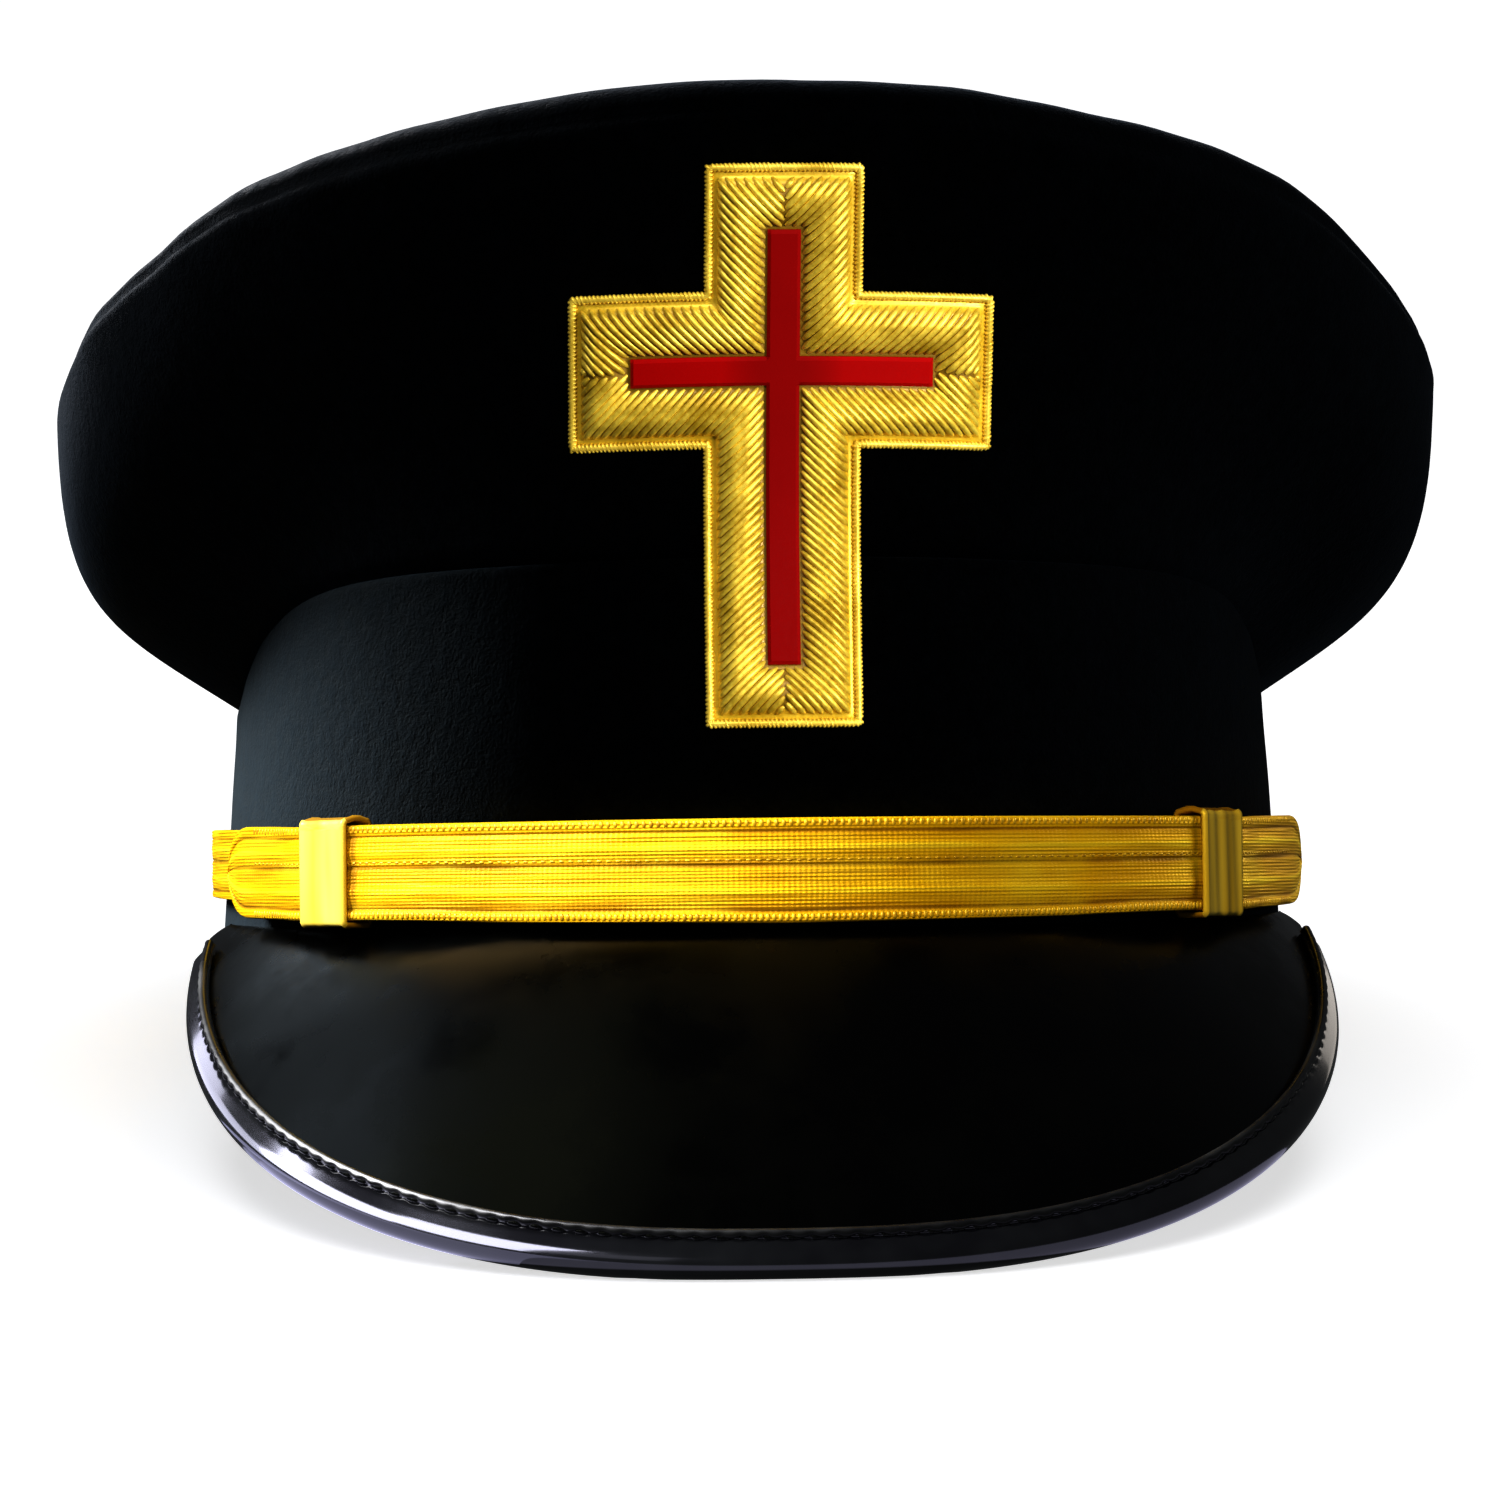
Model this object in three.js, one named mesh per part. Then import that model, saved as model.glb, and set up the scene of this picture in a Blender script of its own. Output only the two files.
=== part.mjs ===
// A fatigue cap: a soft black crown on a shaped band, a patent visor with a rolled binding,
// a gold lace strap held by two slides and two side buttons, and an embroidered cross.
// Sizes are millimetres and degrees. The cap is worked out upright, with the band's lower edge
// level at height 0 and the visor towards -Y. Then it is laid back to rest on visor and band.
// "Turn" is the angle round the band from the front, and "out" is the distance outside the band.
import * as THREE from "three";

// The band, and the gap that neighbouring pieces keep
const gap = 0.3;
const band = {
  halfWidth: 90, halfDepth: 108, wall: 2.2, taperHeight: 38, roundHeight: 0.8, roundIn: 0.6, steps: 72,
};

// Round the cap from front to back: the height of the band's upper edge, how much the band
// draws in by taperHeight, how far the crown's rim stands out, the rim's height, the slopes at
// which the crown's cloth leaves the band and enters the rim, and how full it is between them.
const around = [
  { turn: 0, bandTop: 57, taper: 0, rimOut: 19, rimHeight: 117.5, leave: 82, enter: 68, full: 0.35 },
  { turn: 25, bandTop: 56.8, taper: 0, rimOut: 19.5, rimHeight: 114.8, leave: 81, enter: 69, full: 0.36 },
  { turn: 45, bandTop: 56.2, taper: 0.5, rimOut: 21.5, rimHeight: 109.5, leave: 74, enter: 74, full: 0.4 },
  { turn: 58, bandTop: 53.8, taper: 1.2, rimOut: 24, rimHeight: 102.5, leave: 59, enter: 80, full: 0.44 },
  { turn: 68, bandTop: 49, taper: 1.8, rimOut: 26, rimHeight: 96.5, leave: 46, enter: 85, full: 0.5 },
  { turn: 80, bandTop: 40, taper: 2.3, rimOut: 27.1, rimHeight: 89, leave: 36, enter: 89, full: 0.5 },
  { turn: 92, bandTop: 37.5, taper: 2.4, rimOut: 27, rimHeight: 82.5, leave: 33, enter: 90, full: 0.5 },
  { turn: 135, bandTop: 37.5, taper: 2.4, rimOut: 21, rimHeight: 63, leave: 32, enter: 86, full: 0.42 },
  { turn: 180, bandTop: 37.5, taper: 2.4, rimOut: 15, rimHeight: 55, leave: 32, enter: 82, full: 0.34 },
];

// The crown's cloth, its tuck inside the band, how it rolls out over the band's edge, the round
// of its rim, its slightly domed top, and the rings of the top as shares of its radius
const crown = {
  wall: 2.4, tuck: 6, turnOver: 0.2, roll: 1.6, rimRadius: 6, dome: 4, quarterSteps: 6, rimSteps: 4,
};
const topRings = [0.86, 0.62, 0.32];

// The visor: its plan is a superellipse in front of the temples, drawn in a little towards them,
// and its edge lies in a plane. The binding's round corner is a share of its half thickness.
const visor = {
  halfTurn: 76, halfWidth: 92.5, templeDepth: 24, reach: 118.5, squareness: 2.5, drawnIn: 2.4,
  aside: -2.5, thickness: 2.6, rootHeight: 1.8, templeHeight: 3, frontDrop: 47, camber: 3.2,
  endShare: 0.985, steps: 36, rows: 4,
};
const binding = { wall: 0.9, leg: 3.4, corner: 0.7, endShare: 0.95, steps: 40 };

// The strap: thicknesses and ends, and round the cap the lay of its two layers and its edges
const strap = { thickness: 1.8, leftTab: 67, leftRound: 9, rightTab: 75, rightRound: 14, steps: 60 };
const underStrap = { above: 2.6, below: 0.5, thickness: 1.6, startTurn: 37.5, backTurn: 114, steps: 22 };
const slide = { turn: 46.5, length: 11, wall: 0.9, cornerRadius: 1.1, cornerSteps: 3, lengthSteps: 3 };
const tipShares = [0.02, 0.12, 0.3, 0.6];
const strapLay = [
  { turn: 0, front: 0.4, under: 0.4, low: 2.6, high: 18.2 },
  { turn: 28, front: 0.4, under: 0.4, low: 3.1, high: 18.2 },
  { turn: 36, front: 2.4, under: 0.4, low: 3.5, high: 18.2 },
  { turn: 41, front: 3.4, under: 1.4, low: 3.6, high: 18.2 },
  { turn: 52, front: 3.4, under: 1.4, low: 3.6, high: 18.2 },
  { turn: 56, front: 2.4, under: 0.4, low: 3.8, high: 18.4 },
  { turn: 120, front: 2.4, under: 0.4, low: 6.2, high: 20.4 },
];
const button = { turn: 106, radius: 7, rimHeight: 1.2, domeHeight: 3.4, domeSteps: 4, sides: 20 };

// The cross: half widths and heights seen from the front, and the insets of its three parts
const cross = {
  centreHeight: 84.2, top: 113.2, foot: 31.5, stemHalf: 11.65, barHalf: 31.3, barRise: 11.3,
  borderWidth: 1.45, fieldWidth: 7.2, inlayThickness: 1.3, seat: 0.45, segment: 6.5, widestTurn: 60,
};
const borderProfile = [
  { across: 0, lift: 0.7 },
  { across: 0.3, lift: 1.5 },
  { across: 0.7, lift: 1.5 },
  { across: 1, lift: 0.7 },
];
const fieldProfile = [
  { across: 0, lift: 0.6 },
  { across: 0.12, lift: 1.7 },
  { across: 0.38, lift: 2.7 },
  { across: 0.66, lift: 2.5 },
  { across: 0.9, lift: 1.5 },
  { across: 1, lift: 0.8 },
];

// How much the cloth and leather flatten where the cap stands
const flattened = { band: 1, binding: 0.5 };

// A small step for slopes, as a share of the visor, and how often a search halves its range
const smallStep = 0.004;
const halvings = 24;

const radians = THREE.MathUtils.degToRad;
const lerp = THREE.MathUtils.lerp;

// The value of a table's column at a turn, smooth from row to row
function smoothColumn(table, name, turn) {
  const t = Math.min(Math.abs(turn), table.at(-1).turn);
  const k = Math.max(0, table.findIndex((row) => row.turn >= t) - 1);
  const row = (i) => table[THREE.MathUtils.clamp(i, 0, table.length - 1)];
  const slope = (i) => {
    if (i <= 0 || i >= table.length - 1) return 0;
    return (row(i + 1)[name] - row(i - 1)[name]) / (row(i + 1).turn - row(i - 1).turn);
  };
  const span = row(k + 1).turn - row(k).turn;
  const s = (t - row(k).turn) / span;
  const rise = s * s * (3 - 2 * s);
  const bends = slope(k) * s * (1 - s) * (1 - s) - slope(k + 1) * s * s * (1 - s);
  return lerp(row(k)[name], row(k + 1)[name], rise) + span * bends;
}

// The same along straight lines
function straightColumn(table, name, turn) {
  const t = Math.min(Math.abs(turn), table.at(-1).turn);
  const k = Math.max(0, table.findIndex((row) => row.turn >= t) - 1);
  const share = (t - table[k].turn) / (table[k + 1].turn - table[k].turn);
  return lerp(table[k][name], table[k + 1][name], share);
}

// The outward direction, and a point in space, at a turn round the band's ellipse
function outward(turn) {
  const t = radians(turn);
  return new THREE.Vector3(Math.sin(t) / band.halfWidth, -Math.cos(t) / band.halfDepth, 0).normalize();
}

function atBand(turn, out, height) {
  const t = radians(turn);
  const onEllipse = new THREE.Vector3(band.halfWidth * Math.sin(t), -band.halfDepth * Math.cos(t), height);
  return onEllipse.addScaledVector(outward(turn), out);
}

// How far out the band's face is, which draws in a little as it rises
function bandOut(turn, height) {
  return (-smoothColumn(around, "taper", turn) * height) / band.taperHeight;
}

// Evenly spaced values from one end to the other, ends included
function spaced(from, to, steps) {
  return Array.from({ length: steps + 1 }, (_, i) => lerp(from, to, i / steps));
}

function geometryOf(points, faces) {
  const geometry = new THREE.BufferGeometry().setFromPoints(points);
  geometry.setIndex(faces);
  geometry.computeVertexNormals();
  return geometry;
}

// A solid skinned over sections, each a loop of points whose second half runs back along the
// first. The last section joins the first when the solid is a ring, and else both are closed.
function skinned(sections, isRing = false) {
  const count = sections.length;
  const loop = sections[0].length;
  const at = (i, j) => (i % count) * loop + (j % loop);
  const faces = [];
  const quad = (a, b, c, d) => faces.push(a, b, c, a, c, d);
  for (let i = 0; i < (isRing ? count : count - 1); i += 1) {
    for (let j = 0; j < loop; j += 1) {
      quad(at(i, j), at(i + 1, j), at(i + 1, j + 1), at(i, j + 1));
    }
  }
  for (let j = 0; !isRing && j < loop / 2 - 1; j += 1) {
    quad(at(0, j), at(0, j + 1), at(0, loop - 2 - j), at(0, loop - 1 - j));
    const last = count - 1;
    quad(at(last, j + 1), at(last, j), at(last, loop - 1 - j), at(last, loop - 2 - j));
  }
  return geometryOf(sections.flat(), faces);
}

// A solid between two shared poles, with one row of points from pole to pole at each turn
function betweenPoles(firstPole, rows, lastPole) {
  const count = rows.length;
  const length = rows[0].length;
  const at = (i, j) => 2 + (i % count) * length + j;
  const faces = [];
  for (let i = 0; i < count; i += 1) {
    faces.push(0, at(i, 0), at(i + 1, 0));
    for (let j = 0; j < length - 1; j += 1) {
      faces.push(at(i, j), at(i, j + 1), at(i + 1, j + 1));
      faces.push(at(i, j), at(i + 1, j + 1), at(i + 1, j));
    }
    faces.push(at(i, length - 1), 1, at(i + 1, length - 1));
  }
  return geometryOf([firstPole, lastPole, ...rows.flat()], faces);
}

// Turns round a closed ring, from the front, each between -180 and 180
const ringTurns = spaced(0, 360, band.steps).slice(0, -1).map((angle) => (angle > 180 ? angle - 360 : angle));

// Band: a ring of cloth with a level lower edge and a shaped upper edge
function bandGeometry() {
  const sections = ringTurns.map((turn) => {
    const top = smoothColumn(around, "bandTop", turn);
    const heights = [0, top / 2, top - band.roundHeight, top];
    const outer = heights.map((h) => atBand(turn, bandOut(turn, h), h));
    outer[3].addScaledVector(outward(turn), -band.roundIn);
    const inner = heights.map((h) => atBand(turn, bandOut(turn, h) - band.wall, h));
    return [...outer, ...inner.reverse()];
  });
  return skinned(sections, true);
}

// Crown: its section at a turn, as points of (out, height), from the tuck up to the rim's top
function quarterCurve(turn) {
  const value = (name) => smoothColumn(around, name, turn);
  const top = value("bandTop");
  const foot = new THREE.Vector2(bandOut(turn, top) - band.roundIn, top + crown.roll);
  const rim = new THREE.Vector2(value("rimOut"), value("rimHeight"));
  const pull = foot.distanceTo(rim) * value("full");
  const along = (slope) => new THREE.Vector2(Math.cos(radians(slope)), Math.sin(radians(slope)));
  const second = foot.clone().addScaledVector(along(value("leave")), pull);
  const third = rim.clone().addScaledVector(along(value("enter")), -pull);
  return new THREE.CubicBezierCurve(foot, second, third, rim);
}

function crownSection(turn, topSlope) {
  const top = smoothColumn(around, "bandTop", turn);
  const tucked = bandOut(turn, top) - band.wall - gap;
  const section = [top - crown.tuck, top + crown.turnOver].map((height) => new THREE.Vector2(tucked, height));
  section.push(...quarterCurve(turn).getPoints(crown.quarterSteps));
  const rim = section.at(-1);
  const enter = radians(smoothColumn(around, "enter", turn));
  for (const slope of spaced(enter, topSlope, crown.rimSteps).slice(1)) {
    const outStep = Math.sin(slope) - Math.sin(enter);
    const upStep = Math.cos(enter) - Math.cos(slope);
    section.push(new THREE.Vector2(rim.x + crown.rimRadius * outStep, rim.y + crown.rimRadius * upStep));
  }
  return section;
}

// The section moved inward by the cloth's thickness
function insideOf(section) {
  return section.map((point, i) => {
    const before = section[Math.max(i - 1, 0)];
    const after = section[Math.min(i + 1, section.length - 1)];
    const along = new THREE.Vector2().subVectors(after, before).normalize();
    return new THREE.Vector2(point.x - along.y * crown.wall, point.y + along.x * crown.wall);
  });
}

function crownGeometry() {
  const row = (name, turn) => smoothColumn(around, name, turn);
  const front = atBand(0, row("rimOut", 0), row("rimHeight", 0));
  const back = atBand(180, row("rimOut", 180), row("rimHeight", 180));
  const pitch = Math.atan2(front.z - back.z, back.y - front.y);
  const edgeRise = (4 * crown.dome) / (back.y - front.y);
  const centreHeight = row("rimHeight", 90) + crown.rimRadius;
  const pole = new THREE.Vector3(0, (front.y + back.y) / 2, 0);
  pole.z = centreHeight - Math.tan(pitch) * pole.y + crown.dome;

  const topRow = (edge, centre) => topRings.map((share) => {
    const point = new THREE.Vector3().lerpVectors(centre, edge, share);
    point.z = lerp(centre.z - crown.dome, edge.z, share) + crown.dome * (1 - share * share);
    return point;
  });
  const innerPole = pole.clone().setZ(pole.z - crown.wall);
  const rows = ringTurns.map((turn) => {
    const topSlope = Math.PI + pitch * Math.cos(radians(turn)) - Math.atan(edgeRise);
    const section = crownSection(turn, topSlope);
    const outer = section.map((p) => atBand(turn, p.x, p.y));
    const inner = insideOf(section).map((p) => atBand(turn, p.x, p.y));
    const outerTop = topRow(outer.at(-1), pole).reverse();
    const innerTop = topRow(inner.at(-1), innerPole);
    return [...outerTop, ...outer.reverse(), ...inner, ...innerTop];
  });
  return betweenPoles(pole, rows, innerPole);
}

// Visor: root and edge of its upper face, by share from the front (0) to a temple (1 or -1)
function visorRoot(share) {
  return atBand(share * visor.halfTurn, gap, lerp(visor.rootHeight, visor.templeHeight, share * share));
}

function visorEdge(share) {
  const angle = (Math.abs(share) * Math.PI) / 2;
  const power = 2 / visor.squareness;
  const advance = Math.max(Math.cos(angle), 0) ** power;
  const wide = visor.halfWidth - visor.drawnIn * (1 - advance) ** 4;
  const x = Math.sign(share) * wide * Math.sin(angle) ** power + visor.aside * advance;
  return new THREE.Vector3(
    x, -visor.templeDepth - visor.reach * advance, visor.templeHeight - visor.frontDrop * advance);
}

function visorFace(share, across) {
  const root = visorRoot(share);
  const edge = visorEdge(share);
  const point = new THREE.Vector3().lerpVectors(root, edge, across);
  const width = root.distanceTo(edge) / visorRoot(0).distanceTo(visorEdge(0));
  point.z += 4 * across * (1 - across) * visor.camber * Math.min(width, 1);
  return point;
}

// The upward normal of the visor's upper face
function visorNormal(share, across) {
  const alongEdge = new THREE.Vector3().subVectors(
    visorFace(share + smallStep, across), visorFace(share - smallStep, across));
  const downSlope = new THREE.Vector3().subVectors(
    visorFace(share, across + smallStep), visorFace(share, across - smallStep));
  const normal = alongEdge.cross(downSlope).normalize();
  return normal.z < 0 ? normal.negate() : normal;
}

// The visor's edge at a share, half way through its thickness, and the normal there
function visorRim(share) {
  const normal = visorNormal(share, 1);
  return { normal, middle: visorEdge(share).addScaledVector(normal, -visor.thickness / 2) };
}

function visorGeometry() {
  const sections = spaced(visor.endShare, -visor.endShare, visor.steps).map((share) => {
    const upper = spaced(0, 1, visor.rows).map((across) => visorFace(share, across));
    const lower = spaced(0, 1, visor.rows).map((across) => {
      const point = visorFace(share, across);
      const through = across === 0 ? new THREE.Vector3(0, 0, 1) : visorNormal(share, across);
      return point.addScaledVector(through, -visor.thickness);
    });
    return [...upper, ...lower.reverse()];
  });
  return skinned(sections);
}

// Visor binding: a channel that wraps the visor's edge
function bindingGeometry() {
  const inside = visor.thickness / 2 + gap;
  const outside = inside + binding.wall;
  const halfProfile = (radius, tip) => {
    const corner = binding.corner * radius;
    return [[-binding.leg, radius], [0, radius], [Math.min(tip, corner), corner], [tip, 0]];
  };
  const mirrored = (half) => half.slice(0, -1).reverse().map(([x, y]) => [x, -y]);
  const whole = (half) => [...half, ...mirrored(half)];
  const profile = [...whole(halfProfile(outside, outside)), ...whole(halfProfile(inside, gap)).reverse()];
  const sections = spaced(binding.endShare, -binding.endShare, binding.steps).map((share) => {
    const { normal, middle } = visorRim(share);
    const along = new THREE.Vector3().subVectors(visorEdge(share + smallStep), visorEdge(share - smallStep));
    const away = new THREE.Vector3().crossVectors(along, normal).normalize();
    return profile.map(([x, y]) => middle.clone().addScaledVector(away, x).addScaledVector(normal, y));
  });
  return skinned(sections);
}

// A flat strip laid round the band: turns, how far out it lies, its edges and its thickness
function stripGeometry(turns, outAt, edgesAt, thickness) {
  return skinned(turns.map((turn) => {
    const [low, high] = edgesAt(turn);
    const out = outAt(turn);
    return [
      atBand(turn, out + thickness, low), atBand(turn, out + thickness, high),
      atBand(turn, out, high), atBand(turn, out, low),
    ];
  }));
}

// Millimetres of the band's circumference for each degree at a turn
function lengthPerDegree(turn) {
  const t = radians(turn);
  return radians(Math.hypot(band.halfWidth * Math.cos(t), band.halfDepth * Math.sin(t)));
}

function strapEdges(turn) {
  return [straightColumn(strapLay, "low", turn), straightColumn(strapLay, "high", turn)];
}

// Front strap: the upper layer, with both ends rounded to a tab
function frontStrapGeometry() {
  const leftLength = strap.leftRound / lengthPerDegree(strap.leftTab);
  const rightLength = strap.rightRound / lengthPerDegree(strap.rightTab);
  const middle = spaced(-strap.leftTab + leftLength, strap.rightTab - rightLength, strap.steps);
  const leftTip = tipShares.map((share) => share * leftLength - strap.leftTab);
  const rightTip = tipShares.map((share) => strap.rightTab - share * rightLength).reverse();
  const edges = (turn) => {
    const [low, high] = strapEdges(turn);
    const toTip = Math.min((turn + strap.leftTab) / leftLength, (strap.rightTab - turn) / rightLength, 1);
    const drawnIn = ((high - low) / 2) * (1 - Math.sqrt(1 - (1 - toTip) ** 2));
    return [low + drawnIn, high - drawnIn];
  };
  const out = (turn) => straightColumn(strapLay, "front", turn);
  return stripGeometry([...leftTip, ...middle, ...rightTip], out, edges, strap.thickness);
}

// Under strap: the lower layer, from beneath the front strap back to the side button
function underStrapGeometry(side) {
  const { startTurn, backTurn, steps } = underStrap;
  const turns = side > 0 ? spaced(startTurn, backTurn, steps) : spaced(-backTurn, -startTurn, steps);
  const edges = (turn) => {
    const [low, high] = strapEdges(turn);
    return [low + underStrap.above, high - underStrap.below];
  };
  const out = (turn) => straightColumn(strapLay, "under", turn);
  return stripGeometry(turns, out, edges, underStrap.thickness);
}

// Slide: a loop round both layers, with rounded corners
function slideGeometry(side) {
  const lay = (name) => straightColumn(strapLay, name, slide.turn);
  const innerLow = { out: lay("under") - gap, height: lay("low") - gap };
  const innerHigh = { out: lay("front") + strap.thickness + gap, height: lay("high") + gap };
  const halfTurn = slide.length / 2 / lengthPerDegree(slide.turn);
  const turns = spaced(slide.turn - halfTurn, slide.turn + halfTurn, slide.lengthSteps);
  const inset = slide.cornerRadius - slide.wall;
  const corners = [
    { out: innerHigh.out - inset, height: innerHigh.height - inset, start: 0 },
    { out: innerLow.out + inset, height: innerHigh.height - inset, start: 90 },
    { out: innerLow.out + inset, height: innerLow.height + inset, start: 180 },
    { out: innerHigh.out - inset, height: innerLow.height + inset, start: 270 },
  ];
  const sections = corners.flatMap((corner) => spaced(0, 90, slide.cornerSteps).map((angle) => {
    const direction = radians(corner.start + angle);
    const place = (turn, radius) => atBand(
      side * turn, corner.out + radius * Math.cos(direction), corner.height + radius * Math.sin(direction));
    const face = turns.map((turn) => place(turn, slide.cornerRadius));
    const back = turns.map((turn) => place(turn, inset));
    const section = [...face, ...back.reverse()];
    return side > 0 ? section.reverse() : section;
  }));
  return skinned(sections, true);
}

// Side button: a dome on a short rim, turned about its own axis
function buttonGeometry() {
  const dome = spaced(0, 90, button.domeSteps).map((angle) => new THREE.Vector2(
    button.radius * Math.cos(radians(angle)),
    button.rimHeight + button.domeHeight * Math.sin(radians(angle))));
  dome.at(-1).x = 0;
  const profile = [new THREE.Vector2(0, 0), new THREE.Vector2(button.radius, 0), ...dome];
  return new THREE.LatheGeometry(profile, button.sides);
}

// Cross: the front of the cap that it lies on. The seam under it is bridged.
function frontOut(turn, height) {
  const top = smoothColumn(around, "bandTop", turn);
  const curve = quarterCurve(turn);
  if (height <= top) return bandOut(turn, height);
  if (height <= curve.v0.y) return curve.v0.x + (band.roundIn * (curve.v0.y - height)) / crown.roll;
  let low = 0;
  let high = 1;
  for (let i = 0; i < halvings; i += 1) {
    const middle = (low + high) / 2;
    if (curve.getPoint(middle).y < height) low = middle;
    else high = middle;
  }
  return curve.getPoint(low).x;
}

// The point of that front, lifted off it, which is seen at x and a height from the front
function onFront(x, height, lift) {
  let low = -cross.widestTurn;
  let high = cross.widestTurn;
  for (let i = 0; i < halvings; i += 1) {
    const turn = (low + high) / 2;
    if (atBand(turn, frontOut(turn, height), height).x < x) low = turn;
    else high = turn;
  }
  return atBand(low, frontOut(low, height) + cross.seat + lift, height);
}

// The twelve corners of the cross, inset from its outline, counterclockwise from the foot
function crossCorners(inset) {
  const stem = cross.stemHalf - inset;
  const bar = cross.barHalf - inset;
  const low = cross.centreHeight - cross.barRise + inset;
  const high = cross.centreHeight + cross.barRise - inset;
  const foot = cross.foot + inset;
  const top = cross.top - inset;
  return [
    [-stem, foot], [stem, foot], [stem, low], [bar, low], [bar, high], [stem, high],
    [stem, top], [-stem, top], [-stem, high], [-bar, high], [-bar, low], [-stem, low],
  ];
}

// Points along an inset outline. Each side has the same count of points at every inset.
function crossRail(inset) {
  const outline = crossCorners(0);
  const corners = crossCorners(inset);
  return corners.flatMap(([x, height], i) => {
    const next = corners[(i + 1) % corners.length];
    const ahead = outline[(i + 1) % outline.length];
    const length = Math.abs(ahead[0] - outline[i][0]) + Math.abs(ahead[1] - outline[i][1]);
    const steps = Math.max(1, Math.round(length / cross.segment));
    return spaced(0, 1, steps).slice(0, -1).map((s) => [lerp(x, next[0], s), lerp(height, next[1], s)]);
  });
}

// A ring that follows the cross, with a profile of (share across, lift) from its outer side
function crossRingGeometry(inset, width, profile) {
  const railsAt = profile.map((p) => crossRail(inset + p.across * width));
  const sections = railsAt[0].map((_, k) => {
    const upper = profile.map((p, i) => onFront(...railsAt[i][k], p.lift));
    const under = profile.map((_p, i) => onFront(...railsAt[i][k], 0));
    return [...upper, ...under.reverse()];
  });
  return skinned(sections, true);
}

// The inlay: cells of a cross-shaped grid, closed by its side walls
function crossInlayGeometry(inset) {
  const corners = crossCorners(inset);
  const stem = corners[1][0];
  const bar = corners[3][0];
  const low = corners[2][1];
  const high = corners[4][1];
  const run = (from, to) => spaced(from, to, Math.max(1, Math.round(Math.abs(to - from) / cross.segment)));
  const columns = [...run(-bar, -stem), ...run(stem, bar)];
  const heights = [...run(corners[0][1], low), ...run(high, corners[6][1])];
  const isInside = (i, j) => {
    const x = (columns[i] + columns[i + 1]) / 2;
    const height = (heights[j] + heights[j + 1]) / 2;
    return Math.abs(x) < stem || (height > low && height < high);
  };
  const inGrid = (i, j) => i >= 0 && j >= 0 && i < columns.length - 1 && j < heights.length - 1;
  const filled = (i, j) => inGrid(i, j) && isInside(i, j);
  const points = [];
  const index = new Map();
  const vertex = (i, j, lift) => {
    const key = `${i} ${j} ${lift}`;
    if (!index.has(key)) {
      index.set(key, points.length);
      points.push(onFront(columns[i], heights[j], lift));
    }
    return index.get(key);
  };
  const faces = [];
  const quad = (a, b, c, d) => faces.push(a, b, c, a, c, d);
  for (let i = 0; i < columns.length - 1; i += 1) {
    for (let j = 0; j < heights.length - 1; j += 1) {
      if (!filled(i, j)) continue;
      const ring = (lift) => [
        vertex(i, j, lift), vertex(i + 1, j, lift), vertex(i + 1, j + 1, lift), vertex(i, j + 1, lift)];
      const face = ring(cross.inlayThickness);
      const back = ring(0);
      quad(...face);
      quad(...[...back].reverse());
      const neighbours = [[i, j - 1], [i + 1, j], [i, j + 1], [i - 1, j]];
      neighbours.forEach(([ni, nj], side) => {
        if (filled(ni, nj)) return;
        const next = (side + 1) % 4;
        quad(face[side], back[side], back[next], face[next]);
      });
    }
  }
  return geometryOf(points, faces);
}

// The floor as a plane in the upright cap's own frame, under the visor's edge and the band's back
function floorPlane() {
  const lowestEdge = visorRim(0).middle;
  const radius = visor.thickness / 2 + gap + binding.wall - flattened.binding;
  const heel = atBand(180, 0, 0);
  const run = new THREE.Vector2(heel.y - lowestEdge.y, heel.z - lowestEdge.z);
  const distance = run.length();
  const tilt = Math.atan2(run.y, run.x) + Math.asin((radius + flattened.band) / distance);
  const normal = new THREE.Vector3(0, -Math.sin(tilt), Math.cos(tilt));
  const support = heel.clone().addScaledVector(normal, flattened.band);
  return { plane: new THREE.Plane().setFromNormalAndCoplanarPoint(normal, support), tilt };
}

// Cloth and leather flattened against the floor
function flattenOn(plane, geometry) {
  const position = geometry.getAttribute("position");
  const point = new THREE.Vector3();
  for (let i = 0; i < position.count; i += 1) {
    point.fromBufferAttribute(position, i);
    const below = plane.distanceToPoint(point);
    if (below < 0) {
      point.addScaledVector(plane.normal, -below);
      position.setXYZ(i, point.x, point.y, point.z);
    }
  }
  return geometry;
}

const finishes = {
  cloth: { color: 0x0b0c10, roughness: 0.9, metalness: 0 },
  patent: { color: 0x08080a, roughness: 0.2, metalness: 0 },
  lace: { color: 0xd9ab1c, roughness: 0.5, metalness: 0.4 },
  gilt: { color: 0xe0b53a, roughness: 0.3, metalness: 1 },
  bullion: { color: 0xd2a62a, roughness: 0.4, metalness: 0.6 },
  red: { color: 0xb40a12, roughness: 0.6, metalness: 0 },
};

function piece(name, finish, geometry) {
  const mesh = new THREE.Mesh(geometry, new THREE.MeshStandardMaterial(finishes[finish]));
  mesh.name = name;
  return mesh;
}

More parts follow.
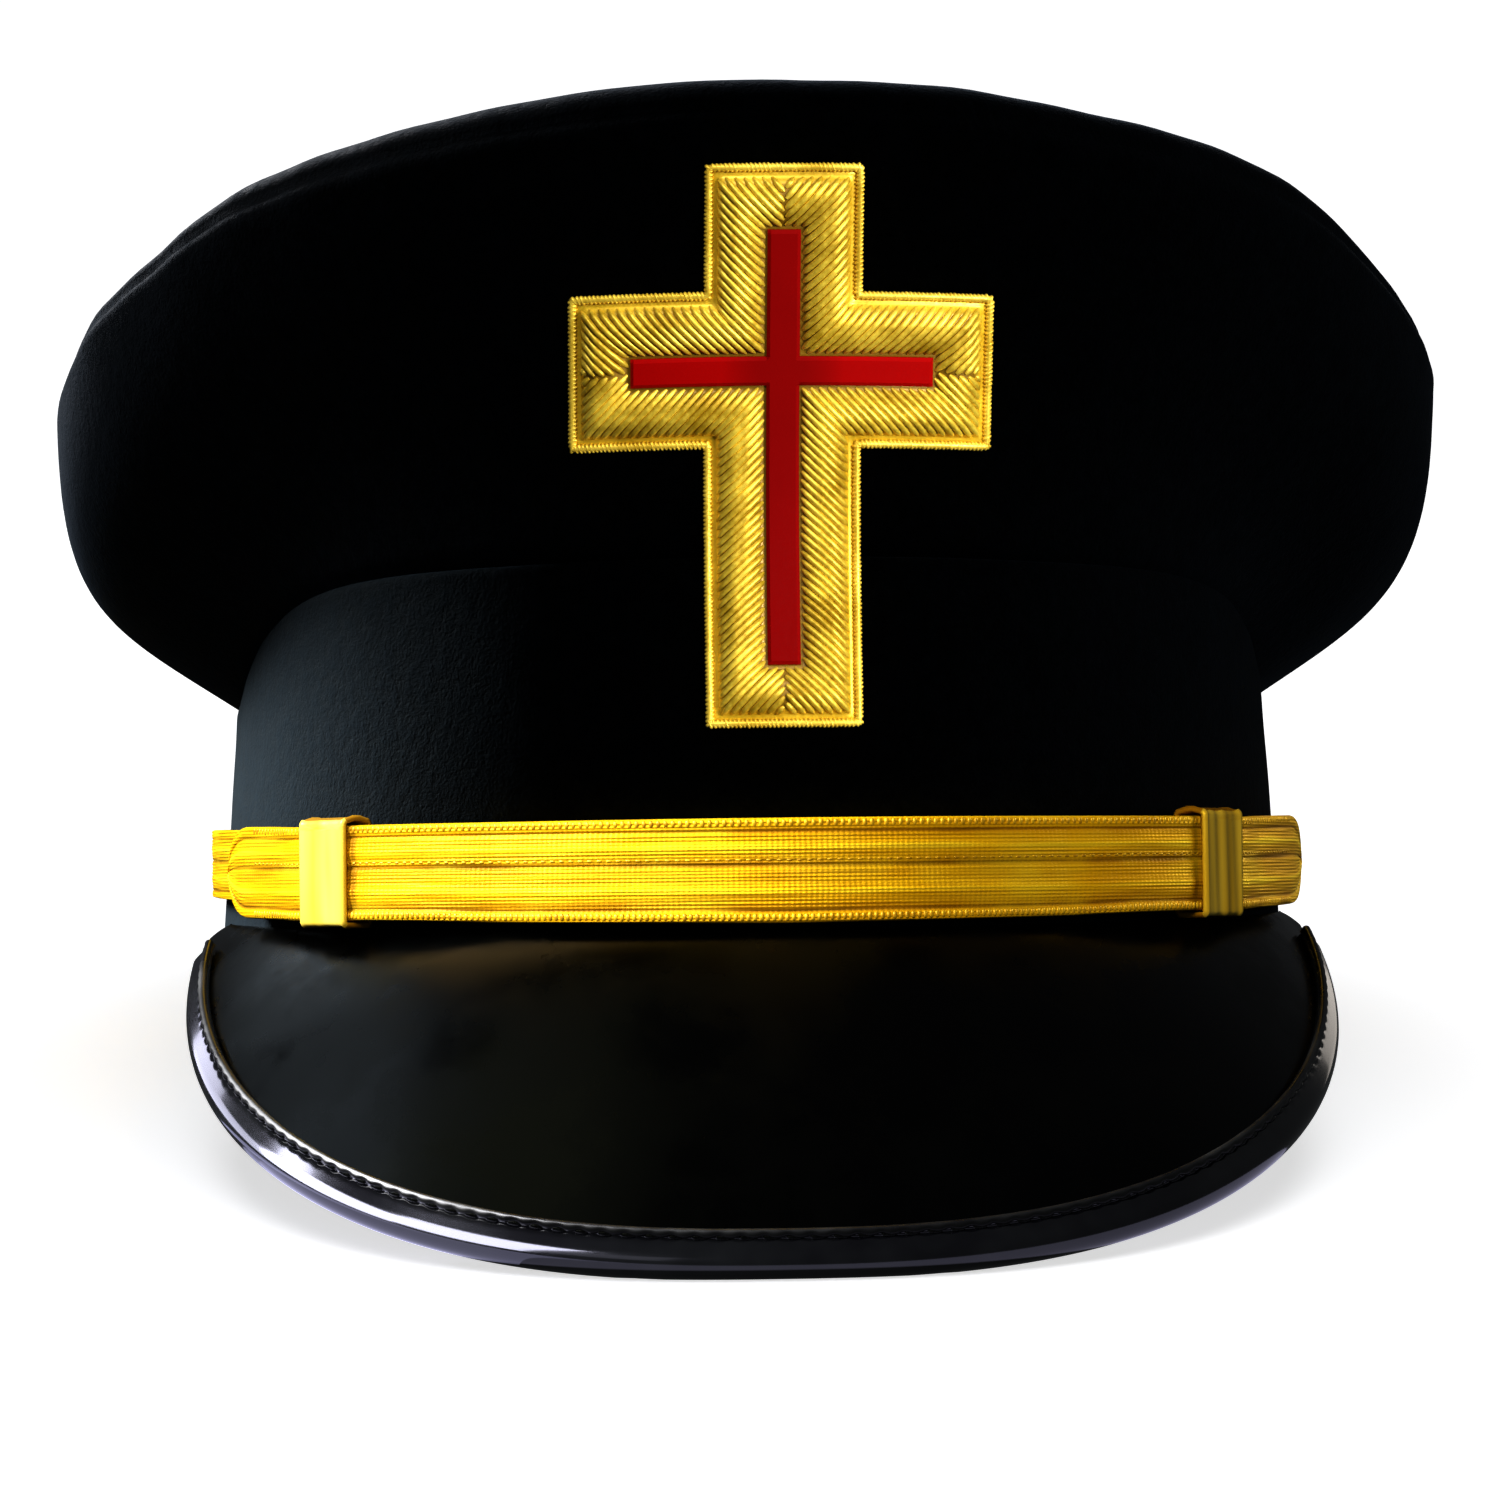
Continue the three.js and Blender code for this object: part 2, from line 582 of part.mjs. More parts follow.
const floor = floorPlane();
const cap = new THREE.Group();
const fieldInset = cross.borderWidth + gap;
const inlayInset = fieldInset + cross.fieldWidth + gap;
cap.add(
  piece("crown", "cloth", crownGeometry()),
  piece("band", "cloth", flattenOn(floor.plane, bandGeometry())),
  piece("visor", "patent", visorGeometry()),
  piece("visor_binding", "patent", flattenOn(floor.plane, bindingGeometry())),
  piece("strap_front", "lace", frontStrapGeometry()),
  piece("cross_border", "bullion", crossRingGeometry(0, cross.borderWidth, borderProfile)),
  piece("cross_field", "bullion", crossRingGeometry(fieldInset, cross.fieldWidth, fieldProfile)),
  piece("cross_inlay", "red", crossInlayGeometry(inlayInset)),
);
for (const [name, side] of [["left", -1], ["right", 1]]) {
  cap.add(
    piece(`strap_under_${name}`, "lace", underStrapGeometry(side)),
    piece(`slide_${name}`, "lace", slideGeometry(side)),
  );
  const knob = piece(`button_${name}`, "gilt", buttonGeometry());
  const out = straightColumn(strapLay, "under", button.turn) + underStrap.thickness + gap;
  const [low, high] = strapEdges(button.turn);
  knob.position.copy(atBand(side * button.turn, out, (low + high) / 2));
  knob.quaternion.setFromUnitVectors(new THREE.Vector3(0, 1, 0), outward(side * button.turn));
  cap.add(knob);
}

// Laid back so that the floor under visor and band is level at height 0, and centred on its box
cap.rotation.x = -floor.tilt;
cap.position.z = floor.plane.constant;
const fatigueCap = new THREE.Group();
fatigueCap.add(cap);
fatigueCap.updateMatrixWorld(true);
const extent = new THREE.Box3().setFromObject(cap, true);
cap.position.y = -(extent.min.y + extent.max.y) / 2;

export default fatigueCap;
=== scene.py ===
import math
from math import radians

import bmesh
import bpy
import numpy as np
from mathutils import Matrix, Vector
from mathutils.bvhtree import BVHTree


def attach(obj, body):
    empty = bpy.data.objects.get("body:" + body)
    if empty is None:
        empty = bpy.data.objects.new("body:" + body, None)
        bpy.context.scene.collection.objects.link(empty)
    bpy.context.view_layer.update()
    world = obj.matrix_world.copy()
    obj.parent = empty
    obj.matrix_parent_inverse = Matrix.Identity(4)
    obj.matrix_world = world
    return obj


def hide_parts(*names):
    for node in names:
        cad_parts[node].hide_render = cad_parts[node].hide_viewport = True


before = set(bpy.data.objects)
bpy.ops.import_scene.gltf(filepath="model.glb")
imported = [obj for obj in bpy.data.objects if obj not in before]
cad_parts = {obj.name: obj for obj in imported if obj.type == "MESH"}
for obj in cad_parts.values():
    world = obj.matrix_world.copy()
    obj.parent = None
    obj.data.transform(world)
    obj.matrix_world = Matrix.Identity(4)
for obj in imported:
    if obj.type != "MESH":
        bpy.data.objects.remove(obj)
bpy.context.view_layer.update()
mm = 0.001


def table(names, *rows):  # each row as a dictionary, by the names of its columns
    return [dict(zip(names.split(), row)) for row in rows]


# The cap is worked out upright, as it is worn, and then leaned back to rest on visor and band.
# A turn is the angle round the band from the front, in degrees.
capShape = {
    "halfWidth": 90 * mm,  # of the band's ellipse
    "halfDepth": 108 * mm,
    "leanBack": radians(-10.8307),
    "shift": (0, 9.1277 * mm, 19.294 * mm),
    "bandWall": 2.2 * mm,
    "taperHeight": 38 * mm,
    "clearance": 0.3 * mm,
}

# Round the cap, in millimetres and degrees: the band's top edge, its taper, the crown's rim,
# and the slopes and fullness of the cloth between band and rim
around = table(
    "turn bandTop taper rimOut rimHeight leave enter full",
    (0, 57, 0, 19, 117.5, 82, 68, 0.35),
    (25, 56.8, 0, 19.5, 114.8, 81, 69, 0.36),
    (45, 56.2, 0.5, 21.5, 109.5, 74, 74, 0.4),
    (58, 53.8, 1.2, 24, 102.5, 59, 80, 0.44),
    (68, 49, 1.8, 26, 96.5, 46, 85, 0.5),
    (80, 40, 2.3, 27.1, 89, 36, 89, 0.5),
    (92, 37.5, 2.4, 27, 82.5, 33, 90, 0.5),
    (135, 37.5, 2.4, 21, 63, 32, 86, 0.42),
    (180, 37.5, 2.4, 15, 55, 32, 82, 0.34))


def column(name, turn):  # its value at any turn, smooth from row to row
    t = np.abs(np.asarray(turn, float))
    turns, values = (np.array([row[key] for row in around], float) for key in ("turn", name))
    slopes = np.zeros(len(values))
    slopes[1:-1] = (values[2:] - values[:-2]) / (turns[2:] - turns[:-2])
    k = np.clip(np.searchsorted(turns, t) - 1, 0, len(turns) - 2)
    span = turns[k + 1] - turns[k]
    s = (t - turns[k]) / span
    rise = s * s * (3 - 2 * s)
    bends = slopes[k] * s * (1 - s) ** 2 - slopes[k + 1] * s * s * (1 - s)
    return values[k] + (values[k + 1] - values[k]) * rise + span * bends


def allRound(count):  # turns from the front all the way round the cap
    turns = np.arange(count) * 360 / count
    return np.where(turns > 180, turns - 360, turns)[:, None]


def unit(vectors):
    return vectors / np.maximum(np.linalg.norm(vectors, axis=-1, keepdims=True), 1e-12)


def outward(turn):
    t = np.radians(turn)
    return unit(np.stack([np.sin(t) / capShape["halfWidth"], -np.cos(t) / capShape["halfDepth"]], -1))


def atBand(turn, out, height):  # a point of the upright cap
    turn, out, height = np.broadcast_arrays(*[np.asarray(a, float) for a in (turn, out, height)])
    t = np.radians(turn)
    away = outward(turn)
    x = capShape["halfWidth"] * np.sin(t) + out * away[..., 0]
    y = -capShape["halfDepth"] * np.cos(t) + out * away[..., 1]
    return np.stack([x, y, height], -1)


def leaned(points):  # from the upright cap to the resting one
    lean = capShape["leanBack"]
    x, y, z = np.moveaxis(np.asarray(points, float), -1, 0)
    turned = [x, y * math.cos(lean) - z * math.sin(lean), y * math.sin(lean) + z * math.cos(lean)]
    return np.stack(turned, -1) + np.array(capShape["shift"])


def bandOut(turn, height):
    return -column("taper", turn) * mm * height / capShape["taperHeight"]


def ringNormals(points):  # of a grid whose rows run right round the cap
    along = np.roll(points, -1, 0) - np.roll(points, 1, 0)
    return unit(np.cross(along, np.gradient(points, axis=1)))


def lengths(points):  # distance along and across a grid, at each of its points
    along = np.linalg.norm(np.diff(points, axis=0), axis=-1).mean(1)
    across = np.linalg.norm(np.diff(points, axis=1), axis=-1).mean(0)
    u, v = (np.concatenate([[0], np.cumsum(steps)]) for steps in (along, across))
    return np.broadcast_arrays(u[:, None], v[None, :])


def ripple(u, v, size, seed):  # a smooth irregular wave between about -1 and 1
    dice = np.random.default_rng(seed)
    total = np.zeros(np.broadcast(u, v).shape)
    spans = (0, 2 * math.pi), (0, 2 * math.pi), (0.6, 1.7)
    for _ in range(9):
        angle, phase, scale = [dice.uniform(*span) for span in spans]
        place = u * math.cos(angle) + v * math.sin(angle)
        total += np.sin(place * 2 * math.pi / (size * scale) + phase)
    return total / 4


def groove(distance, width):
    return np.exp(-((distance / width) ** 2))


def backSeam(turns, width):  # 1 on the seam down the back of the cap
    return groove(np.radians(180 - np.abs(turns)) * capShape["halfWidth"], width)


def added(name, data):  # to the scene, as an object
    thing = bpy.data.objects.new(name, data)
    bpy.context.scene.collection.objects.link(thing)
    return thing


def smoothed(mesh):
    mesh.polygons.foreach_set("use_smooth", [True] * len(mesh.polygons))
    return mesh


def meshOf(bm, mesh):  # what was built, written into the mesh
    bm.to_mesh(mesh)
    bm.free()
    return mesh


def keepValues(mesh, name, values, kind="FLOAT", part="value"):  # at each point of the mesh
    layer = mesh.attributes.new(name, kind, "POINT")
    layer.data.foreach_set(part, np.asarray(values, np.float32).ravel())


def addMesh(name, points, faces, uvs):
    mesh = bpy.data.meshes.new(name)
    mesh.from_pydata([tuple(p) for p in points], [], [tuple(int(i) for i in f) for f in faces])
    mesh.update()
    layer = mesh.uv_layers.new(name="surface")
    corners = np.empty(len(mesh.loops), int)
    mesh.loops.foreach_get("vertex_index", corners)
    layer.data.foreach_set("uv", np.asarray(uvs, np.float32)[corners].ravel())
    return added(name, smoothed(mesh))


# A grid as a mesh. It may close on itself either way, and ends that are loops get caps.
def gridMesh(name, points, closedAlong=False, closedAcross=False, capped=False, pole=None, uvs=None):
    n, m = points.shape[:2]
    index = np.arange(n * m).reshape(n, m)
    rows = np.vstack([index, index[:1]]) if closedAlong else index
    rows = np.hstack([rows, rows[:, :1]]) if closedAcross else rows
    quads = np.stack([rows[:-1, :-1], rows[1:, :-1], rows[1:, 1:], rows[:-1, 1:]], -1).reshape(-1, 4)
    faces = [list(q) for q in quads]
    flat = points.reshape(-1, 3)
    uvs = np.stack(lengths(points), -1) if uvs is None else uvs
    uvs = np.asarray(uvs).reshape(-1, 2)
    if capped:
        for row, step in ((index[0], 1), (index[-1], -1)):
            half = len(row) // 2
            pairs = [(row[j], row[j + 1], row[-2 - j], row[-1 - j]) for j in range(half - 1)]
            faces += [list(p[::step]) for p in pairs]
    if pole is not None:
        flat = np.vstack([flat, pole])
        uvs = np.vstack([uvs, uvs[index[:, -1]].mean(0)])
        edge = rows[:, -1]
        faces += [[edge[i], edge[i + 1], n * m] for i in range(len(edge) - 1)]
    return addMesh(name, flat, faces, uvs)


def finished(piece):  # its modifiers worked into a plain mesh
    evaluated = piece.evaluated_get(bpy.context.evaluated_depsgraph_get())
    mesh = bpy.data.meshes.new_from_object(evaluated)
    piece.modifiers.clear()
    old = piece.data
    piece.data = mesh
    bpy.data.meshes.remove(old)
    mesh.name = piece.name
    return piece


def bevelled(piece, width, sharpest):
    edge = piece.modifiers.new("edge", "BEVEL")
    edge.width = width
    edge.segments = 2
    edge.limit_method = "ANGLE"
    edge.angle_limit = radians(sharpest)


def thickened(piece, thickness, edgeRound=0):
    wall = piece.modifiers.new("wall", "SOLIDIFY")
    wall.thickness = thickness
    wall.offset = -1
    wall.use_even_offset = True
    if edgeRound:
        bevelled(piece, edgeRound, 60)
    return finished(piece)


def pressedOnFloor(piece):  # cloth and leather flatten where they rest
    for vertex in piece.data.vertices:
        vertex.co.z = max(vertex.co.z, 0)
    return piece


def belongs(piece, slot, *nodes, paint=None):  # its paint, the body it rides on and what it replaces
    if paint:
        piece.data.materials.clear()
        piece.data.materials.append(paints[paint])
    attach(piece, "root")
    if nodes:
        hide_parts(*nodes)


# Materials: sockets that can be added and multiplied, and one way to make every other node
class Wire:
    def __init__(self, paint, socket):
        self.paint = paint
        self.socket = socket

    def maths(self, operation, *values):
        return self.paint.node("ShaderNodeMath", {"operation": operation}, dict(enumerate(values)))

    def __add__(self, other):
        return self.maths("ADD", self, other)

    def __mul__(self, other):
        return self.maths("MULTIPLY", self, other)

    def sine(self):
        return self.maths("SINE", self)

    __radd__ = __add__
    __rmul__ = __mul__


class Paint:
    def __init__(self, name):
        self.material = bpy.data.materials.new(name)
        self.material.use_nodes = True
        self.nodes = self.material.node_tree.nodes
        self.links = self.material.node_tree.links
        self.nodes.clear()

    def node(self, kind, settings=None, values=None, out=0):
        made = self.nodes.new(kind)
        for key, value in (settings or {}).items():
            setattr(made, key, value)
        for key, value in (values or {}).items():
            if isinstance(value, Wire):
                self.links.new(value.socket, made.inputs[key])
            else:
                made.inputs[key].default_value = value
        return Wire(self, made.outputs[out] if made.outputs else None)

    def place(self, source="Object"):  # object coordinates, or the piece's own surface map
        if source == "Object":
            return self.node("ShaderNodeTexCoord", out="Object")
        return self.node("ShaderNodeUVMap", {"uv_map": "surface"})

    def noise(self, place, scale, detail=3, roughness=0.55, stretch=None):
        if stretch is not None:
            place = self.node("ShaderNodeMapping", None, {"Vector": place, "Scale": stretch})
        return self.node("ShaderNodeTexNoise", None, {
            "Vector": place, "Scale": scale, "Detail": detail, "Roughness": roughness})

    def mix(self, factor, a, b):
        return self.node("ShaderNodeMix", {"data_type": "RGBA"}, {0: factor, 6: a, 7: b}, out=2)

    def levels(self, factor, low, high, newLow=0.0, newHigh=1.0):
        return self.node("ShaderNodeMapRange", {"clamp": True}, {
            "Value": factor, "From Min": low, "From Max": high, "To Min": newLow, "To Max": newHigh})

    def bump(self, height, distance, strength):
        return self.node("ShaderNodeBump", None, {
            "Height": height, "Distance": distance, "Strength": strength})

    def relief(self):  # a mask kept on the mesh for painted light and shade: the strap's rib height, the slides' front faces and the padding's outer edge
        return self.node("ShaderNodeAttribute", {"attribute_name": "relief"}, out="Fac")

    def shader(self, **values):
        named = {key.replace("_", " "): value for key, value in values.items()}
        surface = self.node("ShaderNodeBsdfPrincipled", None, named)
        self.node("ShaderNodeOutputMaterial", None, {"Surface": surface})
        return self.material


def grey(level):
    return (level, level, level, 1)


clothLook = {
    "deep": (0.003, 0.0036, 0.0043, 1),
    "nap": (0.009, 0.0115, 0.0142, 1),
    "napSize": 460,  # sizes are noise scales, per metre
    "threadSize": 1900,
    "patchSize": 150,
    "sheen": 0.05,
    "sheenTint": (0.5, 0.7, 0.95, 1),
}


def clothPaint():
    paint = Paint("black wool cloth")
    place = paint.place()
    nap = paint.noise(place, clothLook["napSize"], 4, 0.6)
    fibres = paint.noise(place, clothLook["threadSize"], 2, 0.6)
    patches = paint.noise(place, clothLook["patchSize"], 3, 0.6)
    shade = paint.levels(nap * 0.5 + fibres * 0.28 + patches * 0.22, 0.4, 0.64)
    return paint.shader(
        Base_Color=paint.mix(shade, clothLook["deep"], clothLook["nap"]),
        Roughness=paint.levels(nap, 0.35, 0.65, 0.72, 0.9),
        Sheen_Weight=clothLook["sheen"],
        Sheen_Roughness=0.45,
        Sheen_Tint=clothLook["sheenTint"],
        Specular_IOR_Level=0.02,
        Normal=paint.bump(nap * 0.6 + fibres * 0.4, 0.4 * mm, 0.9))


patentLook = {
    "colour": (0.0018, 0.0018, 0.0022, 1),
    "smudge": (0.006, 0.0066, 0.006, 1),
    "waveSize": 34,
    "smudgeSize": 60,
    "grainSize": 900,
    "depth": 0.12 * mm,
}


def patentPaint(name, gloss, roughness, coat, uneven=1.9):
    paint = Paint(name)
    place = paint.place()
    waves = paint.noise(place, patentLook["waveSize"], 2, 0.45)
    smudges = paint.noise(place, patentLook["smudgeSize"], 3, 0.6)
    grain = paint.noise(place, patentLook["grainSize"], 1, 0.5)
    smudged = paint.levels(smudges, 0.4, 0.7)
    return paint.shader(
        Base_Color=paint.mix(smudged, patentLook["colour"], patentLook["smudge"]),
        Roughness=paint.levels(smudges * 0.9 + grain * 0.1, 0.36, 0.62, roughness, roughness * uneven),
        Specular_IOR_Level=gloss,
        Coat_Weight=coat,
        Coat_Roughness=0.06,
        Normal=paint.bump(waves, patentLook["depth"], 0.6))


laceLook = {
    "bright": (0.86, 0.52, 0.003, 1),
    "deep": (0.5, 0.25, 0.001, 1),
    # random pale patches, and the painted highlight on the rib tops
    "pale": (0.93, 0.74, 0.03, 1),
    # painted shade in the grooves between the ribs and beside the slides
    "groove": (0.2, 0.1, 0.001, 1),
    "streakSize": 620,
    "fineSize": 2600,
    "tarnishSize": 70,
    "weft": 2 * math.pi / (0.8 * mm),
    "warp": 2 * math.pi / (0.5 * mm),
}


def lacePaint():
    paint = Paint("woven gold lace")
    surface = paint.place("surface")
    along = paint.node("ShaderNodeSeparateXYZ", None, {"Vector": surface})
    across = Wire(paint, along.socket.node.outputs["Y"])
    streaks = paint.noise(surface, laceLook["streakSize"], 3, 0.6, stretch=(0.12, 1.0, 1.0))
    fine = paint.noise(surface, laceLook["fineSize"], 2, 0.6, stretch=(0.5, 1.0, 1.0))
    tarnish = paint.noise(surface, laceLook["tarnishSize"], 3, 0.6, stretch=(0.5, 1.0, 1.0))
    weft = (along * laceLook["weft"] + streaks * 3).sine() * 0.5 + 0.5
    warp = (across * laceLook["warp"] + fine * 2).sine() * 0.5 + 0.5
    relief = paint.relief()
    # the ribs' mask makes the rib tops lighter and the grooves darker: painted highlight and painted
    # shade
    shade = streaks * 0.3 + fine * 0.12 + warp * 0.05 + weft * 0.04 + relief * 0.44
    colour = paint.mix(paint.levels(shade, 0.3, 0.68), laceLook["deep"], laceLook["bright"])
    # painted shade in the grooves, and the painted shadow on the strap beside each slide
    colour = paint.mix(paint.levels(relief, 0.0, 0.28, 0.75, 0.0), colour, laceLook["groove"])
    colour = paint.mix(paint.levels(tarnish, 0.48, 0.72, 0, 0.55), colour, laceLook["pale"])
    # painted highlight on the rib tops
    colour = paint.mix(paint.levels(relief, 0.82, 1.0, 0.0, 0.6), colour, laceLook["pale"])
    height = weft * 0.25 + warp * 0.45 + streaks * 0.5 + fine * 0.4
    return paint.shader(
        Base_Color=colour,
        Metallic=0.25,
        Specular_IOR_Level=0.15,
        Roughness=paint.levels(streaks, 0.3, 0.7, 0.55, 0.4),
        Normal=paint.bump(height, 0.14 * mm, 0.9))


ribbonLook = {
    "bright": (0.94, 0.78, 0.16, 1),
    "deep": (0.8, 0.58, 0.05, 1),
    # painted shade on the slide's walls and back
    "inside": (0.5, 0.27, 0.015, 1),
    "threadSize": 1500,
    "foldSize": 160,
}


def ribbonPaint():
    paint = Paint("smooth gold ribbon")
    surface = paint.place("surface")
    threads = paint.noise(surface, ribbonLook["threadSize"], 2, 0.5, stretch=(0.05, 1.0, 1.0))
    folds = paint.noise(surface, ribbonLook["foldSize"], 2, 0.5, stretch=(0.15, 1.0, 1.0))
    colour = paint.mix(paint.levels(folds, 0.35, 0.6), ribbonLook["deep"], ribbonLook["bright"])
    return paint.shader(
        # the walls and back of the slide take the painted shade
        Base_Color=paint.mix(paint.relief(), ribbonLook["inside"], colour),
        Metallic=0.2,
        Specular_IOR_Level=0.25,
        Roughness=paint.levels(threads, 0.3, 0.7, 0.45, 0.34),
        Normal=paint.bump(threads * 0.4 + folds * 0.8, 0.12 * mm, 0.7))


goldSizes = {"fine": 1500, "tarnish": 130}
goldLooks = {  # the bright and deep colours, how metallic, and the painted shade on the padding between the threads
    "loops": ("gold lace loops", (0.84, 0.56, 0.02, 1), (0.5, 0.28, 0.005, 1), 0.3),
    "bullion": ("gold bullion thread", (0.88, 0.66, 0.07, 1), (0.5, 0.32, 0.012, 1), 0.4),
    "padding": ("gold padding", (0.78, 0.53, 0.03, 1), (0.6, 0.38, 0.012, 1), 0.3,
                # painted shade where the padding shows between the threads
                (0.26, 0.145, 0.005, 1)),
    "cord": ("gold cord", (0.93, 0.68, 0.08, 1), (0.66, 0.42, 0.025, 1), 0.4),
    "gilt": ("gilt metal", (0.93, 0.66, 0.22, 1), (0.8, 0.5, 0.12, 1), 1.0),
}


def goldPaint(name, bright, deep, metallic, gapShade=None):
    paint = Paint(name)
    place = paint.place()
    fine = paint.noise(place, goldSizes["fine"], 2, 0.6)
    tarnish = paint.noise(place, goldSizes["tarnish"], 3, 0.55)
    colour = paint.mix(paint.levels(tarnish * 0.7 + fine * 0.3, 0.38, 0.6), deep, bright)
    # painted shade on the padding between the threads, where the mask is low
    if gapShade:
        colour = paint.mix(paint.relief(), gapShade, colour)
    return paint.shader(
        Base_Color=colour,
        Metallic=metallic,
        Roughness=paint.levels(fine, 0.3, 0.7, 0.34, 0.48),
        Normal=paint.bump(fine, 0.06 * mm, 0.5))


redLook = {
    "middle": (0.195, 0.0, 0.0, 1),
    "arms": (0.34, 0.0, 0.0, 1),
    "mottleSize": 110,
    "grainSize": 1400,
}


def redPaint():
    paint = Paint("red badge enamel")
    place = paint.place()
    mottled = paint.noise(place, redLook["mottleSize"], 2, 0.5)
    grain = paint.noise(place, redLook["grainSize"], 2, 0.5)
    aside = paint.node("ShaderNodeSeparateXYZ", None, {"Vector": place})
    arms = paint.levels(aside * aside, (3 * mm) ** 2, (9 * mm) ** 2)
    return paint.shader(
        Base_Color=paint.mix(arms * 0.75 + mottled * 0.25, redLook["middle"], redLook["arms"]),
        Roughness=paint.levels(grain, 0.3, 0.7, 0.6, 0.75),
        Specular_IOR_Level=0.04,
        Normal=paint.bump(grain, 0.04 * mm, 0.4))


threadLook = {"deep": grey(0.004), "bright": grey(0.02), "twistSize": 2400}


def threadPaint():
    paint = Paint("black waxed thread")
    twist = paint.noise(paint.place(), threadLook["twistSize"], 2, 0.5)
    return paint.shader(
        Base_Color=paint.mix(paint.levels(twist, 0.4, 0.6), threadLook["deep"], threadLook["bright"]),
        Roughness=paint.levels(twist, 0.3, 0.7, 0.2, 0.35),
        Normal=paint.bump(twist, 0.05 * mm, 0.6))


paints = {
    "cloth": clothPaint(),
    "patent": patentPaint("black patent leather", 0.2, 0.2, 0.0),
    "edge": patentPaint("rolled patent edge", 0.7, 0.13, 0.4, 1.2),
    "bead": patentPaint("patent leather welt", 0.9, 0.24, 0.0),
    "lace": lacePaint(),
    "ribbon": ribbonPaint(),
    "red": redPaint(),
    "thread": threadPaint(),
    **{key: goldPaint(*look) for key, look in goldLooks.items()},
}
print("materials made:", len(paints))

# Band: a ring of cloth with a shaped upper edge
bandCloth = {
    "turns": 240,
    "rows": 30,
    "edgeRows": [0.96, 0.975, 0.985, 0.993, 0.998, 1],  # shares of the height
    "edgeRound": 1.1 * mm,
    "hemRound": 0.4 * mm,
    "seamWidth": 0.7 * mm,
    "seamDepth": 0.35 * mm,
    "unevenness": 0.14 * mm,
    "waveSize": 30 * mm,
}


def makeBand():
    b = bandCloth
    turns = allRound(b["turns"])
    top = column("bandTop", turns) * mm
    wallRows = np.linspace(0, 1, b["rows"])[:-1] * b["edgeRows"][0]
    height = np.concatenate([wallRows, b["edgeRows"]])[None, :] * top
    toEdge = np.clip((height - top + b["edgeRound"]) / b["edgeRound"], 0, 1)
    out = bandOut(turns, height) - b["edgeRound"] * (1 - np.sqrt(1 - toEdge**2)) * 0.7
    t = np.radians(turns)
    out = out + b["unevenness"] * ripple(np.sin(t) * 0.09, height + np.cos(t) * 0.1, b["waveSize"], 3)
    out = out - b["seamDepth"] * backSeam(turns, b["seamWidth"])
    band = gridMesh("band_cloth", leaned(atBand(turns, out, height)), closedAlong=True)
    thickened(band, capShape["bandWall"], b["hemRound"])
    belongs(pressedOnFloor(band), "cloth", "band", paint="cloth")


makeBand()
print("band made")

# Crown: one soft shell, tucked into the band, rolled out over it, round at the rim and slightly domed
crownCloth = {
    "wall": 2.4 * mm,
    "tuck": 6 * mm,
    "roll": 1.6 * mm,
    "footIn": 0.6 * mm,
    "rimRadius": 6 * mm,
    "dome": 4 * mm,
    "turns": 240,
    "sideRows": 30,
    "rimRows": 12,
    "topRows": 14,
    "seamWidth": 0.8 * mm,
    "seamDepth": 0.8 * mm,
    "seamRow": 3,  # of the rim's rows
    "pucker": 0.3 * mm,
    "puckerSize": 16 * mm,
    "puckerReach": 6 * mm,
    "slack": 0.35 * mm,
    "slackSize": 70 * mm,
    "heldFoot": 20 * mm,  # the cloth beside the band has no slack
    "flatMiddle": 70 * mm,
}


def crownOutline(turns):  # the section at each turn as (out, height), up to the rim's top
    c = crownCloth
    top = column("bandTop", turns) * mm
    tucked = bandOut(turns, top) - capShape["bandWall"] - capShape["clearance"]
    foot = np.stack([bandOut(turns, top) - c["footIn"], top + c["roll"]], -1)
    rim = np.stack([column("rimOut", turns) * mm, column("rimHeight", turns) * mm], -1)
    pull = (np.linalg.norm(rim - foot, axis=-1) * column("full", turns))[..., None]
    leave, enter = (np.radians(column(name, turns)) for name in ("leave", "enter"))
    second = foot + pull * np.stack([np.cos(leave), np.sin(leave)], -1)
    third = rim - pull * np.stack([np.cos(enter), np.sin(enter)], -1)
    t = np.linspace(0, 1, c["sideRows"])[None, :, None]
    side = foot * (1 - t) ** 3 + second * 3 * t * (1 - t) ** 2 + third * 3 * t * t * (1 - t) + rim * t**3
    tuckRows = top + np.array([-c["tuck"], -2 * mm, 0.2 * mm])
    return np.stack([np.repeat(tucked, 3, 1), tuckRows], -1), side, rim, enter


def crownLift(shell, turns, footRow, rimRow):  # seams at the rim and down the back, puckers and slack
    c = crownCloth
    u, v = lengths(np.concatenate([shell, shell[:1]], 0))
    u, v = u[:-1], v[:-1]
    fromRim = v - v[0, rimRow + c["seamRow"]]
    lift = -c["seamDepth"] * groove(fromRim, c["seamWidth"])
    lift = lift - c["seamDepth"] * backSeam(turns, c["seamWidth"]) * (fromRim < 0)
    puckers = ripple(u, v * 0, c["puckerSize"], 5) * groove(fromRim, c["puckerReach"])
    lift = lift + c["pucker"] * puckers
    t = np.radians(turns)
    slack = ripple(np.sin(t) * 0.12, v + np.cos(t) * 0.12, c["slackSize"], 8)
    free = np.clip((v - v[0, footRow + 4]) / c["heldFoot"], 0, 1)
    towardsMiddle = np.clip((v[:, -1:] - v) / c["flatMiddle"], 0, 1)
    return lift + c["slack"] * slack * free * towardsMiddle


